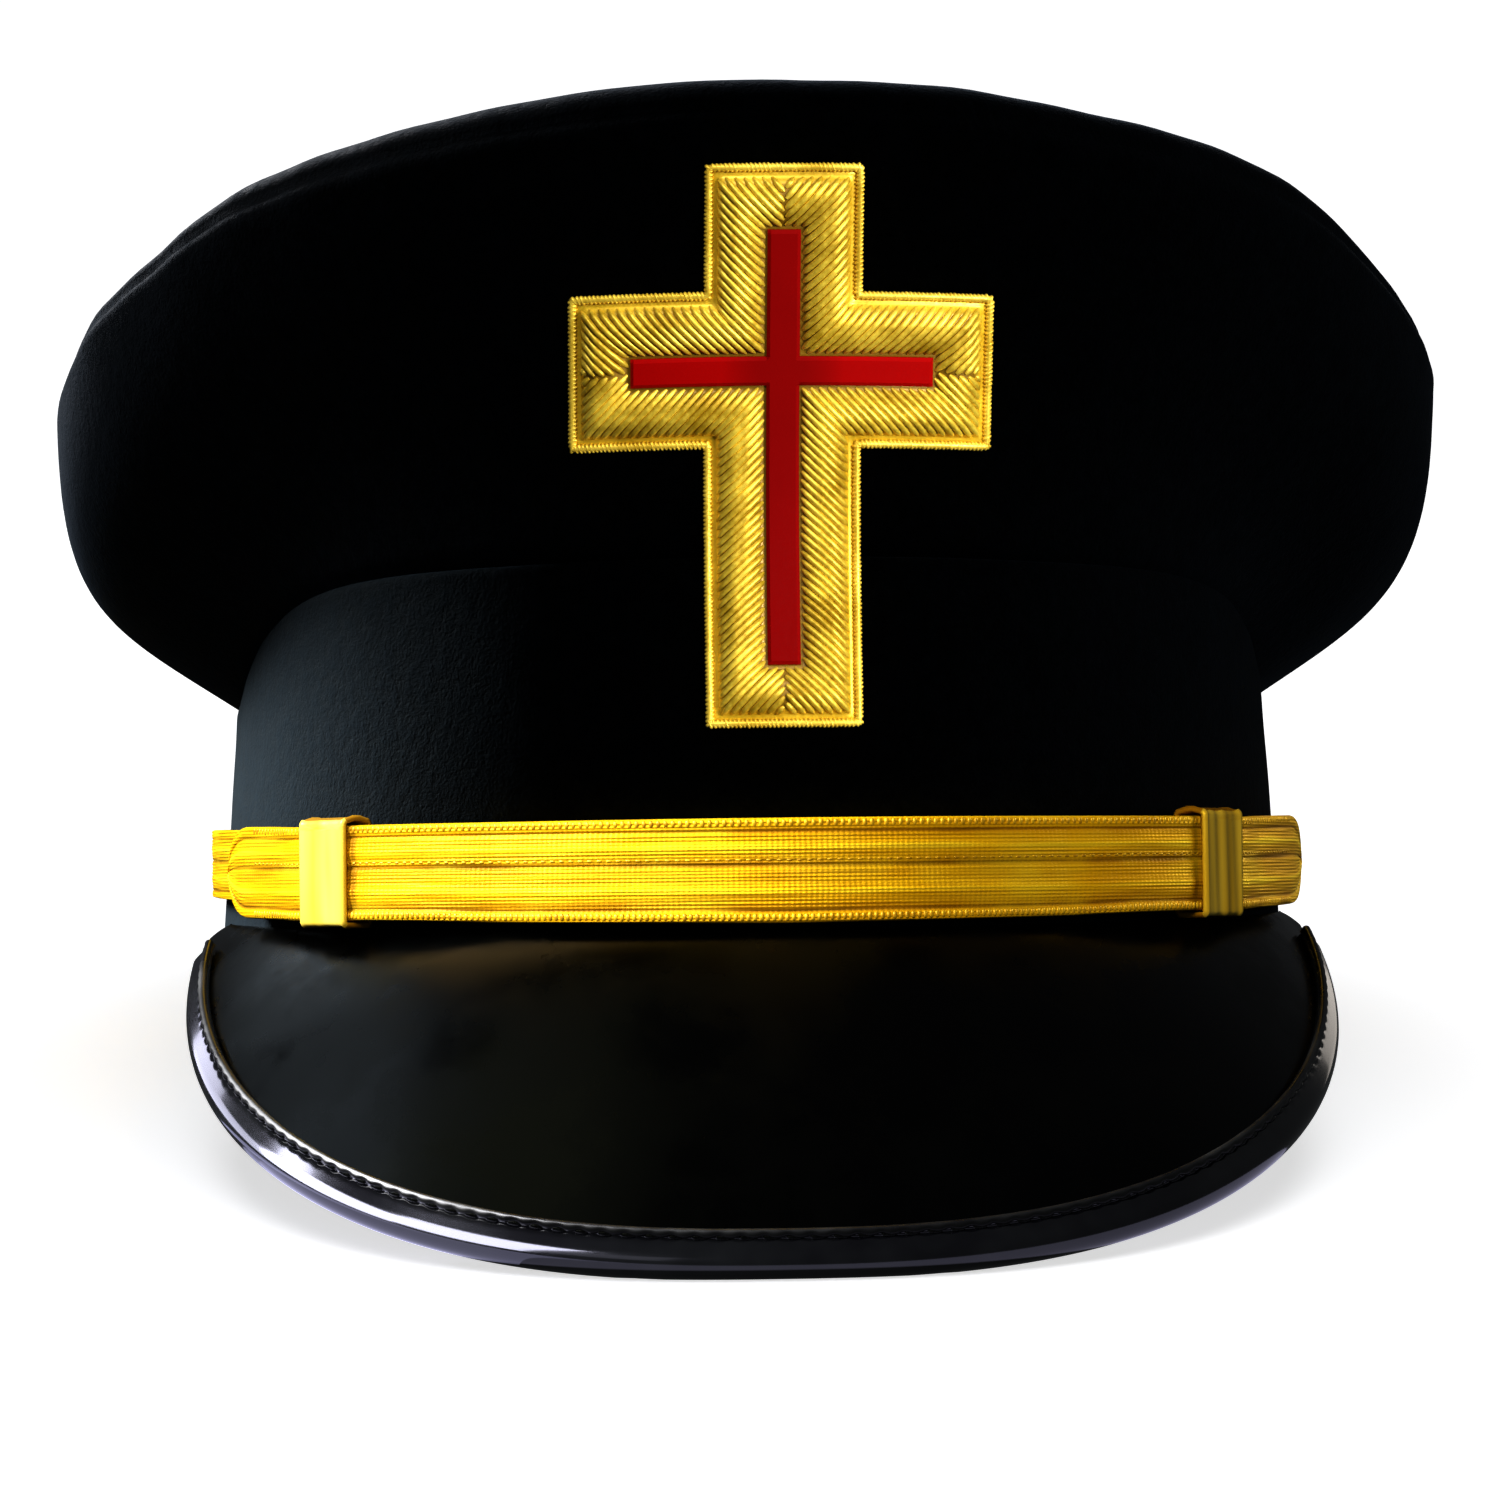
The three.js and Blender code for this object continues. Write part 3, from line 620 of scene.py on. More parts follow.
def makeCrown():
    c = crownCloth
    turns = allRound(c["turns"])
    inTuck, side, rim, enter = crownOutline(turns)
    front, back = (atBand(t, column("rimOut", t) * mm, column("rimHeight", t) * mm) for t in (0, 180))
    pitch = math.atan2(front[2] - back[2], back[1] - front[1])
    edgeRise = 4 * c["dome"] / (back[1] - front[1])
    centre = np.array([0, (front[1] + back[1]) / 2, 0])
    flatHeight = column("rimHeight", 90) * mm + c["rimRadius"] - math.tan(pitch) * centre[1]
    topSlope = math.pi + pitch * np.cos(np.radians(turns)) - math.atan(edgeRise)
    slope = enter + (topSlope - enter) * np.linspace(0, 1, c["rimRows"])[None, 1:]
    turned = np.stack([np.sin(slope) - np.sin(enter), np.cos(enter) - np.cos(slope)], -1)
    section = np.concatenate([inTuck, side, rim + c["rimRadius"] * turned], 1)
    shell = atBand(turns, section[..., 0], section[..., 1])
    edge = shell[:, -1:]
    share = np.linspace(1, 0, c["topRows"] + 1)[None, 1:-1, None]
    top = centre + (edge - centre) * share
    share = share[..., 0]
    top[..., 2] = flatHeight + (edge[..., 2] - flatHeight) * share + c["dome"] * (1 - share**2)
    shell = np.concatenate([shell, top], 1)
    footRow = inTuck.shape[1]
    lift = crownLift(shell, turns, footRow, footRow + side.shape[1] - 1)
    shell = shell + ringNormals(shell) * lift[..., None]
    pole = leaned(centre + np.array([0, 0, flatHeight + c["dome"]]))
    crown = gridMesh("crown_cloth", leaned(shell), closedAlong=True, pole=pole)
    belongs(thickened(crown, c["wall"]), "cloth", "crown", paint="cloth")


makeCrown()
print("crown made")

# Visor: a curved sheet of patent leather, its edge bound with a rolled strip that is sewn through
visorLeather = {
    "halfTurn": 76,
    "halfWidth": 92.5 * mm,
    "templeDepth": 24 * mm,
    "reach": 118.5 * mm,
    "squareness": 2.5,
    "drawnIn": 2.4 * mm,
    "aside": -2.5 * mm,
    "thickness": 2.6 * mm,
    "edgeRound": 0.3 * mm,
    "rootHeight": 1.8 * mm,
    "templeHeight": 3 * mm,
    "frontDrop": 47 * mm,
    "camber": 3.2 * mm,
    "endShare": 0.985,
    "steps": 200,
    "rows": 24,
}
visorBinding = {
    "wall": 0.9 * mm,
    "leg": 3.9 * mm,
    "bead": 0.6 * mm,
    "beadRadius": 0.72 * mm,
    "beadDent": 0.4,
    "beadLift": 0.1 * mm,
    "endShare": 0.95,
    "steps": 1100,
    "stitchPitch": 3.3 * mm,
    "stitchLength": 2.3 * mm,
    "stitchWidth": 0.9 * mm,
    "stitchInset": 2.75 * mm,
    "dip": 0.32 * mm,  # of the groove that the stitches lie in
    "dipWidth": 0.55 * mm,
}


def visorRoot(share):
    v = visorLeather
    rise = v["rootHeight"] + (v["templeHeight"] - v["rootHeight"]) * share**2
    return atBand(share * v["halfTurn"], capShape["clearance"], rise)


def visorEdge(share):
    v = visorLeather
    angle = np.abs(share) * math.pi / 2
    power = 2 / v["squareness"]
    advance = np.maximum(np.cos(angle), 0) ** power
    wide = v["halfWidth"] - v["drawnIn"] * (1 - advance) ** 4
    x = np.sign(share) * wide * np.sin(angle) ** power + v["aside"] * advance
    y = -v["templeDepth"] - v["reach"] * advance
    z = v["templeHeight"] - v["frontDrop"] * advance
    return np.stack(np.broadcast_arrays(x, y, z), -1)


def visorFace(share, across):
    share, across = np.broadcast_arrays(np.asarray(share, float), np.asarray(across, float))
    root, edge = visorRoot(share), visorEdge(share)
    point = root + (edge - root) * across[..., None]
    whole = np.linalg.norm(visorRoot(0.0) - visorEdge(0.0))
    width = np.minimum(np.linalg.norm(root - edge, axis=-1) / whole, 1)
    point[..., 2] += 4 * across * (1 - across) * visorLeather["camber"] * width
    return point


def visorNormal(share, across, step=0.004):
    along = visorFace(share + step, across) - visorFace(share - step, across)
    down = visorFace(share, across + step) - visorFace(share, across - step)
    normal = unit(np.cross(along, down))
    return np.where(normal[..., 2:] < 0, -normal, normal)


def makeVisor():
    v = visorLeather
    share = np.linspace(-v["endShare"], v["endShare"], v["steps"])[:, None]
    across = np.linspace(0, 1, v["rows"])[None, :]
    upper = visorFace(share, across)
    down = visorNormal(share + across * 0, across + share * 0)
    down[:, 0] = (0, 0, 1)
    loop = leaned(np.concatenate([upper, (upper - down * v["thickness"])[:, ::-1]], 1))[:, ::-1]
    flat = np.stack(lengths(upper), -1)
    uvs = np.concatenate([flat, flat[:, ::-1]], 1)[:, ::-1]
    visor = gridMesh("visor_leather", loop, closedAcross=True, capped=True, uvs=uvs)
    bevelled(visor, v["edgeRound"], 50)
    belongs(finished(visor), "patent", "visor", paint="patent")


# At even steps along the visor's edge: its middle, its normal, the way out of it and the distance
def rimFrames(count, shorter=0):
    end = visorBinding["endShare"] - shorter
    fine = np.linspace(-end, end, 3000)
    run = np.concatenate([[0], np.cumsum(np.linalg.norm(np.diff(visorEdge(fine), axis=0), axis=1))])
    share = np.interp(np.linspace(0, run[-1], count), run, fine)
    normal = visorNormal(share, share * 0 + 1)
    middle = visorEdge(share) - normal * visorLeather["thickness"] / 2
    away = unit(np.cross(normal, visorEdge(share + 0.002) - visorEdge(share - 0.002)))
    further, reach = (np.linalg.norm(p[..., :2], axis=-1) for p in (middle + away * mm, middle))
    away = np.where((further < reach)[..., None], -away, away)
    return (middle, normal, away), np.linspace(0, run[-1], count)[:, None]


def pulled(run):  # 0 where a stitch pulls the strip down, 1 halfway to the next
    return 0.5 - 0.5 * np.cos(run / visorBinding["stitchPitch"] * 2 * math.pi)


def alongRim(frames, x, y):  # a section, as distances out from the edge and up, at each frame
    middle, normal, away = (part[:, None] for part in frames)
    return leaned(middle + away * x[..., None] + normal * y[..., None])


def bindingTop():  # above the middle of the visor's edge
    return visorLeather["thickness"] / 2 + capShape["clearance"] + visorBinding["wall"]


def makeBinding():
    b = visorBinding
    frames, run = rimFrames(b["steps"])
    inside = visorLeather["thickness"] / 2 + capShape["clearance"]
    outside = bindingTop()
    bend = np.linspace(math.pi / 2, -math.pi / 2, 19)
    bead = b["bead"] * np.cos(np.linspace(0, math.pi, 15))
    slope = np.linspace(-b["leg"] + 2 * b["bead"] + 0.1 * mm, 0, 12)[:-1]
    upperX = np.concatenate([-b["leg"] + b["bead"] - bead, slope])
    upperY = outside + np.concatenate([np.sqrt(np.maximum(b["bead"] ** 2 - bead**2, 0)), slope * 0])
    x = np.concatenate([upperX, outside * np.cos(bend), upperX[::-1]])
    y = np.concatenate([upperY, outside * np.sin(bend), upperX * 0 - outside])
    dips = b["dip"] * groove(x + b["stitchInset"], b["dipWidth"]) * (np.abs(y) > inside)
    across = y - np.sign(y) * dips * (0.35 + 0.65 * pulled(run))
    back = np.linspace(-math.pi / 2, math.pi / 2, 9)
    legEnd = [-b["leg"] + 0.1 * mm]
    innerX = np.concatenate([legEnd, np.cos(back) * 0 + 0.1 * mm, legEnd])
    innerY = np.concatenate([[-inside], inside * np.sin(back), [inside]])
    allX, allY = (np.concatenate([np.broadcast_to(outer, across.shape),
                                  np.broadcast_to(inner, (b["steps"], len(inner)))], 1)
                  for outer, inner in ((x, innerX), (across, innerY)))
    binding = gridMesh("visor_rolled_edge", alongRim(frames, allX, allY), closedAcross=True, capped=True)
    belongs(pressedOnFloor(binding), "patent", "visor_binding", paint="edge")


def makeBead():  # the welt along the binding's inner edge, dented by each stitch
    b = visorBinding
    frames, run = rimFrames(b["steps"])
    turn = np.linspace(0, 2 * math.pi, 25)[:-1][None, :]
    radius = b["beadRadius"] * (1 - b["beadDent"] * pulled(run) ** 1.5 * np.clip(np.cos(turn), 0, 1))
    x = -b["leg"] + b["bead"] + radius * np.cos(turn)
    y = bindingTop() + b["beadLift"] + radius * np.sin(turn)
    bead = gridMesh("visor_bead", alongRim(frames, x, y), closedAcross=True, capped=True)
    belongs(bead, "patent", paint="bead")


# Geometry Nodes for what repeats: a tree with named inputs, worked into a plain mesh once they are set
class Pattern:
    def __init__(self, name, **inputs):
        self.tree = bpy.data.node_groups.new(name, "GeometryNodeTree")
        self.addSocket("INPUT", "Geometry", "Geometry")
        self.inputs = {key: self.addSocket("INPUT", key, kind) for key, kind in inputs.items()}
        self.addSocket("OUTPUT", "Geometry", "Geometry")
        self.start = self.add("NodeGroupInput")

    def addSocket(self, way, name, kind):
        made = self.tree.interface.new_socket(name, in_out=way, socket_type="NodeSocket" + kind)
        return made.identifier

    def add(self, kind, values=None, **settings):
        node = self.tree.nodes.new(kind)
        for key, value in settings.items():
            setattr(node, key, value)
        for key, value in (values or {}).items():
            if isinstance(value, bpy.types.NodeSocket):
                self.tree.links.new(value, node.inputs[key])
            else:
                node.inputs[key].default_value = value
        return node.outputs

    def finish(self, name, rail, last, paint, **values):
        real = self.add("GeometryNodeRealizeInstances", {0: last})
        dressed = self.add("GeometryNodeSetMaterial", {"Geometry": real[0], "Material": paints[paint]})
        self.add("NodeGroupOutput", {0: dressed[0]})
        piece = added(name, rail)
        repeats = piece.modifiers.new("repeats", "NODES")
        repeats.node_group = self.tree
        for key, value in values.items():
            repeats[self.inputs[key]] = value
        smoothed(finished(piece).data)
        return piece


def setAlong(name, line, stampMesh, spacing, paint, upright):  # a row of small pieces along a line
    stamp = added(name + "_stamp", stampMesh)
    rail = bpy.data.meshes.new(name + "_rail")
    rail.from_pydata([tuple(p) for p in line], [(i, i + 1) for i in range(len(line) - 1)], [])
    keepValues(rail, "lean", upright, "FLOAT_VECTOR", "vector")
    row = Pattern(name + "_row", Spacing="Float", Unevenness="Float")
    curve = row.add("GeometryNodeMeshToCurve", {"Mesh": row.start["Geometry"]})
    even = row.add("GeometryNodeResampleCurve", {
        "Curve": curve[0], "Length": row.start["Spacing"]}, mode="LENGTH")
    tangent = row.add("GeometryNodeInputTangent")
    lean = row.add("GeometryNodeInputNamedAttribute", {"Name": "lean"}, data_type="FLOAT_VECTOR")
    facing = row.add("FunctionNodeAlignEulerToVector", {"Vector": tangent[0]}, axis="X")
    turned = row.add("FunctionNodeAlignEulerToVector", {
        "Rotation": facing[0], "Vector": lean[0]}, axis="Z", pivot_axis="X")
    shaped = row.add("GeometryNodeObjectInfo", {"Object": stamp})
    smallest = row.add("ShaderNodeMath", {0: 1.0, 1: row.start["Unevenness"]}, operation="SUBTRACT")
    size = row.add("FunctionNodeRandomValue", {"Seed": 7, 2: smallest[0], 3: 1}, data_type="FLOAT")
    placed = row.add("GeometryNodeInstanceOnPoints", {
        "Points": even[0], "Instance": shaped["Geometry"], "Rotation": turned[0], "Scale": size[1]})
    piece = row.finish(name, rail, placed[0], paint, Spacing=spacing, Unevenness=0.12)
    bpy.data.objects.remove(stamp)
    return piece


def capsule(length, width, height):  # a small rounded bar along X
    bm = bmesh.new()
    bmesh.ops.create_uvsphere(bm, u_segments=8, v_segments=6, radius=1)
    for vertex in bm.verts:
        x, y, z = vertex.co
        reach = math.copysign(abs(z) ** 0.6, z)
        vertex.co = (reach * length / 2, x * width / 2, y * height / 2)
    bmesh.ops.recalc_face_normals(bm, faces=bm.faces)
    return meshOf(bm, bpy.data.meshes.new("capsule"))


def makeVisorStitches():
    b = visorBinding
    (middle, normal, away), _run = rimFrames(600, 0.01)
    line = leaned(middle - away * b["stitchInset"] + normal * (bindingTop() + 0.05 * mm))
    upright = leaned(normal) - leaned(np.zeros(3))
    stamp = capsule(b["stitchLength"], b["stitchWidth"], b["stitchWidth"] * 0.7)
    belongs(setAlong("visor_stitches", line, stamp, b["stitchPitch"], "thread", upright), "patent")

makeVisor()
makeBinding()
makeBead()
makeVisorStitches()
print("visor made")

# Strap: two layers of gold lace, with slides round both and a button at each hidden end
laceStrap = {
    "thickness": 1.8 * mm,
    "leftTab": 67,
    "leftRound": 9 * mm,
    "rightTab": 75,
    "rightRound": 14 * mm,
    "steps": 420,
    "rows": 121,
    "ribs": 0.5 * mm,
    "threads": 0.045 * mm,
    "threadCount": 23,
}
underLace = {
    "above": 2.6 * mm,  # the upper layer's lower edge
    "below": 0.5 * mm,  # its upper edge
    "thickness": 1.6 * mm,
    "startTurn": 37.5,
    "backTurn": 114,
    "steps": 130,
    "rows": 97,
    "ribs": 0.22 * mm,
    "threads": 0.06 * mm,
}
strapSlide = {
    "turn": 46.5,
    "length": 11 * mm,
    "wall": 0.6 * mm,
    "cornerRadius": 0.8 * mm,
    "lip": 0.3 * mm,
    "folds": 0.14 * mm,
    "arch": 0.45 * mm,  # where it turns in over the strap's upper edge
    "shadowWidth": 0.5,  # degrees of the painted shadow beside it on the strap
    "edgeRound": 0.35 * mm,
    "longSteps": 16,
}
# How far out the two layers lie, and the strap's lower and upper edges, in millimetres
strapLay = table(
    "turn front under low high",
    (0, 0.4, 0.4, 2.6, 18.2),
    (28, 0.4, 0.4, 3.1, 18.2),
    (36, 2.4, 0.4, 3.5, 18.2),
    (41, 3.4, 1.4, 3.6, 18.2),
    (52, 3.4, 1.4, 3.6, 18.2),
    (56, 2.4, 0.4, 3.8, 18.4),
    (120, 2.4, 0.4, 6.2, 20.4))
laceRibs = [  # across the strap from its lower edge: the place and height of its woven ribs and grooves
    (0.0, 0.7), (0.08, 0.75), (0.115, 0.0), (0.15, 0.3), (0.3, 1.0), (0.34, 0.75), (0.38, 0.6),
    (0.51, 0.5), (0.545, 0.0), (0.58, 0.35), (0.72, 1.0), (0.76, 0.75), (0.84, 0.55), (0.87, 0.1),
    (0.9, 0.7), (1.0, 0.75)]


def lay(name, turn):
    turns = [row["turn"] for row in strapLay]
    return np.interp(np.abs(turn), turns, [row[name] * mm for row in strapLay])


def millimetresPerDegree(turn):
    t = np.radians(turn)
    return np.radians(np.hypot(capShape["halfWidth"] * np.cos(t), capShape["halfDepth"] * np.sin(t)))


def ribHeight(v):
    return np.interp(v, *zip(*laceRibs))


def slideShadow(turns):  # 1 beside the inner edge of a slide, where the strap gets a painted shadow
    half = strapSlide["length"] / 2 / millimetresPerDegree(strapSlide["turn"])
    fromEdge = np.abs(turns) - strapSlide["turn"] + half + strapSlide["shadowWidth"]
    return groove(fromEdge, strapSlide["shadowWidth"])


def laceStrip(name, turns, out, low, high, lace, seed):
    v = np.linspace(0, 1, lace["rows"])[None, :]
    run = np.cumsum(np.concatenate([[0], np.diff(turns) * millimetresPerDegree(turns[1:])]))[:, None]
    wide = (high - low)[:, None]
    height = low[:, None] + wide * v
    strength = 0.6 + 0.4 * ripple(run * 0.25, v * 0.02, 6 * mm, seed)
    threads = lace["threads"] * strength * np.sin(v * laceStrap["threadCount"] * 2 * math.pi)
    woven = lace["ribs"] * (ribHeight(v) - 1) + threads
    woven = woven + lace["threads"] * 0.7 * ripple(run * 0.12, v * 0.016, 1.6 * mm, seed + 1)
    toEdge = np.clip((np.abs(2 * v - 1) - 0.94) / 0.06, 0, 1)
    rounded = lace["thickness"] * 0.3 * (1 - np.sqrt(np.clip(1 - toEdge**2, 0, 1)))
    face = atBand(turns[:, None], out[:, None] + lace["thickness"] + woven - rounded, height)
    backHeight = low[:, None] + wide * np.linspace(1, 0, lace["rows"])[None, ::12]
    loop = np.concatenate([face, atBand(turns[:, None], out[:, None], backHeight)], 1)
    uvs = np.concatenate([np.stack(np.broadcast_arrays(run, h), -1) for h in (height, backHeight)], 1)
    strip = gridMesh(name, leaned(loop), closedAcross=True, capped=True, uvs=uvs)
    # the weave's rib height, kept as the mask for the strap's painted highlight and painted shade
    stands = np.full(loop.shape[:2], 0.5)
    stands[:, :face.shape[1]] = ribHeight(v) + 0.12 * ripple(run * 0.3, v * 0.03, 5 * mm, seed + 2)
    # the mask drops to 0 beside each slide, which paints a shadow there
    keepValues(strip.data, "relief", stands * (1 - slideShadow(turns)[:, None]))
    return strip


def makeFrontStrap():
    s = laceStrap
    leftTip = s["leftRound"] / millimetresPerDegree(s["leftTab"])
    rightTip = s["rightRound"] / millimetresPerDegree(s["rightTab"])
    ease = (1 - np.cos(np.linspace(0.12, math.pi / 2, 24)))[:-1]
    middle = np.linspace(-s["leftTab"] + leftTip, s["rightTab"] - rightTip, s["steps"])
    rightEnd = (s["rightTab"] - ease * rightTip)[::-1]
    turns = np.concatenate([-s["leftTab"] + ease * leftTip, middle, rightEnd])
    toTip = np.minimum((turns + s["leftTab"]) / leftTip, (s["rightTab"] - turns) / rightTip)
    toTip = np.clip(toTip, 0, 1)
    low, high = lay("low", turns), lay("high", turns)
    drawn = (high - low) / 2 * (1 - np.sqrt(1 - (1 - toTip) ** 2))
    strap = laceStrip("strap_lace", turns, lay("front", turns), low + drawn, high - drawn, s, 11)
    belongs(strap, "lace", "strap_front", paint="lace")


def makeUnderStrap(side, word):
    u = underLace
    turns = np.linspace(u["startTurn"], u["backTurn"], u["steps"])[::side] * side
    low, high = lay("low", turns) + u["above"], lay("high", turns) - u["below"]
    strap = laceStrip(f"strap_lace_{word}", turns, lay("under", turns), low, high, u, 20 + side)
    belongs(strap, "lace", f"strap_under_{word}", paint="lace")


def slideLoop():  # round both layers of the strap: points inside the slide's wall, and the way out
    s = strapSlide
    inset = s["cornerRadius"] - s["wall"]
    lowOut = lay("under", s["turn"]) - capShape["clearance"] + inset
    highOut = lay("front", s["turn"]) + laceStrap["thickness"] + capShape["clearance"] - inset
    low = lay("low", s["turn"]) - capShape["clearance"] + inset
    high = lay("high", s["turn"]) + capShape["clearance"] - inset
    corners = [(highOut, high, 0), (lowOut, high, 90), (lowOut, low, 180), (highOut, low, 270)]
    loop = []
    for i, (out, up, start) in enumerate(corners):
        bend = np.radians(np.linspace(start, start + 90, 9))
        loop += [(out, up, math.cos(a), math.sin(a)) for a in bend]
        nextOut, nextUp, _ = corners[(i + 1) % 4]
        steps = s["longSteps"] if abs(nextUp - up) > 4 * mm else 3
        loop += [(out + (nextOut - out) * share, up + (nextUp - up) * share, *loop[-1][2:])
                 for share in [k / steps for k in range(1, steps)]]
    return inset, lowOut, highOut, [np.array(values)[:, None] for values in zip(*loop)]


def makeSlide(side, word):
    s = strapSlide
    inset, lowOut, highOut, (out, up, sideOut, sideUp) = slideLoop()
    across, backAcross = np.linspace(-1, 1, 33)[None, :], np.linspace(1, -1, 9)[None, :]
    half = s["length"] / 2 / millimetresPerDegree(s["turn"])
    shown = (sideOut > 0.2).astype(float)
    inward = np.clip((highOut - out) / (highOut - lowOut), 0, 1)
    up = up + s["arch"] * np.sin(math.pi * inward) * (sideUp > 0.5)
    lip = s["lip"] * (groove(across + 0.93, 0.07) + 0.6 * groove(across - 0.93, 0.07))
    depth = s["folds"] * (1 if side > 0 else 0.3)
    folds = depth * (np.sin(across * 7.5 + 0.6) + 0.6 * np.sin(across * 13 + up * 90))
    radius = s["cornerRadius"] + (lip + folds * shown)
    radius = radius - s["edgeRound"] * np.clip((np.abs(across) - 0.95) / 0.05, 0, 1) ** 2
    face = atBand(side * (s["turn"] + across * half), out + radius * sideOut, up + radius * sideUp)
    back = atBand(side * (s["turn"] + backAcross * half), out + inset * sideOut, up + inset * sideUp)
    loop = np.concatenate([face, back], 1)
    steps = np.hypot(*(np.diff((middle + s["cornerRadius"] * way)[:, 0])
                       for middle, way in ((out, sideOut), (up, sideUp))))
    run = np.cumsum(np.concatenate([[0], steps]))[:, None]
    uvs = np.concatenate([np.stack(np.broadcast_arrays(run, place * s["length"] / 2), -1)
                          for place in (across, backAcross)], 1)
    # 1 on the slide's front face; its walls and back get painted shade
    faced = np.concatenate([shown + across * 0, out * 0 + backAcross * 0], 1)
    if side > 0:
        loop, uvs, faced = loop[:, ::-1], uvs[:, ::-1], faced[:, ::-1]
    slide = gridMesh(f"slide_ribbon_{word}", leaned(loop), closedAlong=True, closedAcross=True, uvs=uvs)
    keepValues(slide.data, "relief", faced)
    belongs(slide, "lace", f"slide_{word}", paint="ribbon")


sideButton = {
    "turn": 106,
    "radius": 7 * mm,
    "rimHeight": 1.2 * mm,
    "domeHeight": 3.4 * mm,
    "bead": 0.8 * mm,
    "steps": 64,
}


def makeButton(side, word):
    b = sideButton
    out = lay("under", b["turn"]) + underLace["thickness"] + capShape["clearance"]
    rim = [(b["radius"] - b["bead"] * (1 - math.cos(a)) * 0.5, b["bead"] * (0.75 + 0.75 * math.sin(a)))
           for a in np.linspace(-math.pi / 2, math.pi * 0.8, 9)]
    inner = b["radius"] - 1.5 * b["bead"]
    dome = [(inner * math.cos(a), b["rimHeight"] + b["domeHeight"] * math.sin(a))
            for a in np.linspace(0.05, 1.5, 12)]
    wide, lift = np.array([(0.3 * b["radius"], 0)] + rim + dome).T[:, None, :, None]
    turn = np.linspace(0, 2 * math.pi, b["steps"] + 1)[:-1, None, None]
    away = np.array([*outward(side * b["turn"]), 0])
    sideways = np.array([-away[1], away[0], 0])
    middle = atBand(side * b["turn"], out, (lay("low", b["turn"]) + lay("high", b["turn"])) / 2)
    ring = wide * np.cos(turn) * sideways + wide * np.sin(turn) * np.array([0, 0, 1])
    place = middle + ring + lift * away
    pole = leaned(middle + away * (b["rimHeight"] + b["domeHeight"]))
    button = gridMesh(f"button_gilt_{word}", leaned(place), closedAlong=True, pole=pole)
    bm = bmesh.new()
    bm.from_mesh(button.data)
    bmesh.ops.holes_fill(bm, edges=[e for e in bm.edges if e.is_boundary], sides=0)
    bmesh.ops.recalc_face_normals(bm, faces=bm.faces)
    meshOf(bm, button.data)
    belongs(button, "gilt", f"button_{word}", paint="gilt")


laceEdges = table(  # rows of small loops woven along the strap: how far up it, their spacing and size
    "name across pitch size",
    ("strap_lower_loops", 0.055, 0.95 * mm, (0.7 * mm, 1.2 * mm, 0.36 * mm)),
    ("strap_upper_loops", 0.95, 1.1 * mm, (0.7 * mm, 1.2 * mm, 0.34 * mm)),
    ("strap_middle_loops", 0.6, 1.5 * mm, (0.9 * mm, 0.45 * mm, 0.28 * mm)))


def makeLaceEdges():
    turns = np.linspace(-laceStrap["leftTab"] + 7, laceStrap["rightTab"] - 9, 300)
    low, high = lay("low", turns), lay("high", turns)
    for edge in laceEdges:
        height = low + (high - low) * edge["across"]
        stands = float(ribHeight(edge["across"])) - 1
        out = lay("front", turns) + laceStrap["thickness"] + laceStrap["ribs"] * stands - 0.03 * mm
        line = leaned(atBand(turns, out, height))
        upright = leaned(atBand(turns, out + mm, height)) - line
        loops = setAlong(edge["name"], line, capsule(*edge["size"]), edge["pitch"], "loops", upright)
        belongs(loops, "lace")


makeFrontStrap()
makeLaceEdges()
for side, word in ((-1, "left"), (1, "right")):
    makeUnderStrap(side, word)
    makeSlide(side, word)
    makeButton(side, word)
print("strap made")

# Badge: a cross of gold embroidery with a red inlay, laid on the front of the cap
badge = {
    "centreHeight": 84.2 * mm,
    "top": 113.2 * mm,
    "foot": 31.5 * mm,
    "stemHalf": 11.65 * mm,
    "barHalf": 31.3 * mm,
    "barRise": 11.3 * mm,
    "borderWidth": 1.45 * mm,
    "fieldWidth": 7.2 * mm,
    "seat": 0.45 * mm,
    "cordRadius": 0.5 * mm,
    "cordLift": 0.5 * mm,
    "coilPitch": 0.62 * mm,
    "coilLength": 1.55 * mm,
    "coilTwist": radians(22),
    "underCord": 0.7 * mm,  # how far the padding runs in under the cord and the inlay
    "underInlay": 0.8 * mm,
    "underThreads": 0.45 * mm,  # how far it lies below the threads
    "threadPitch": 0.94 * mm,
    "threadRadius": 0.5 * mm,
    "threadStart": 0.9 * mm,
    "threadStop": 0.1 * mm,
    "threadStep": 0.12 * mm,
    "threadSegment": 0.55 * mm,
    "threadsApart": 0.12 * mm,  # from one quarter of the cross to the next, on each side
    "threadSides": 8,
    "inlayHeight": 1.3 * mm,
    "inlayRound": 0.5 * mm,
}
fieldRise = [  # across the padding, from its outer edge: how high it stands, in millimetres
    (0, 0.6), (0.12, 1.7), (0.38, 2.55), (0.66, 2.35), (0.9, 1.4), (1, 0.8)]


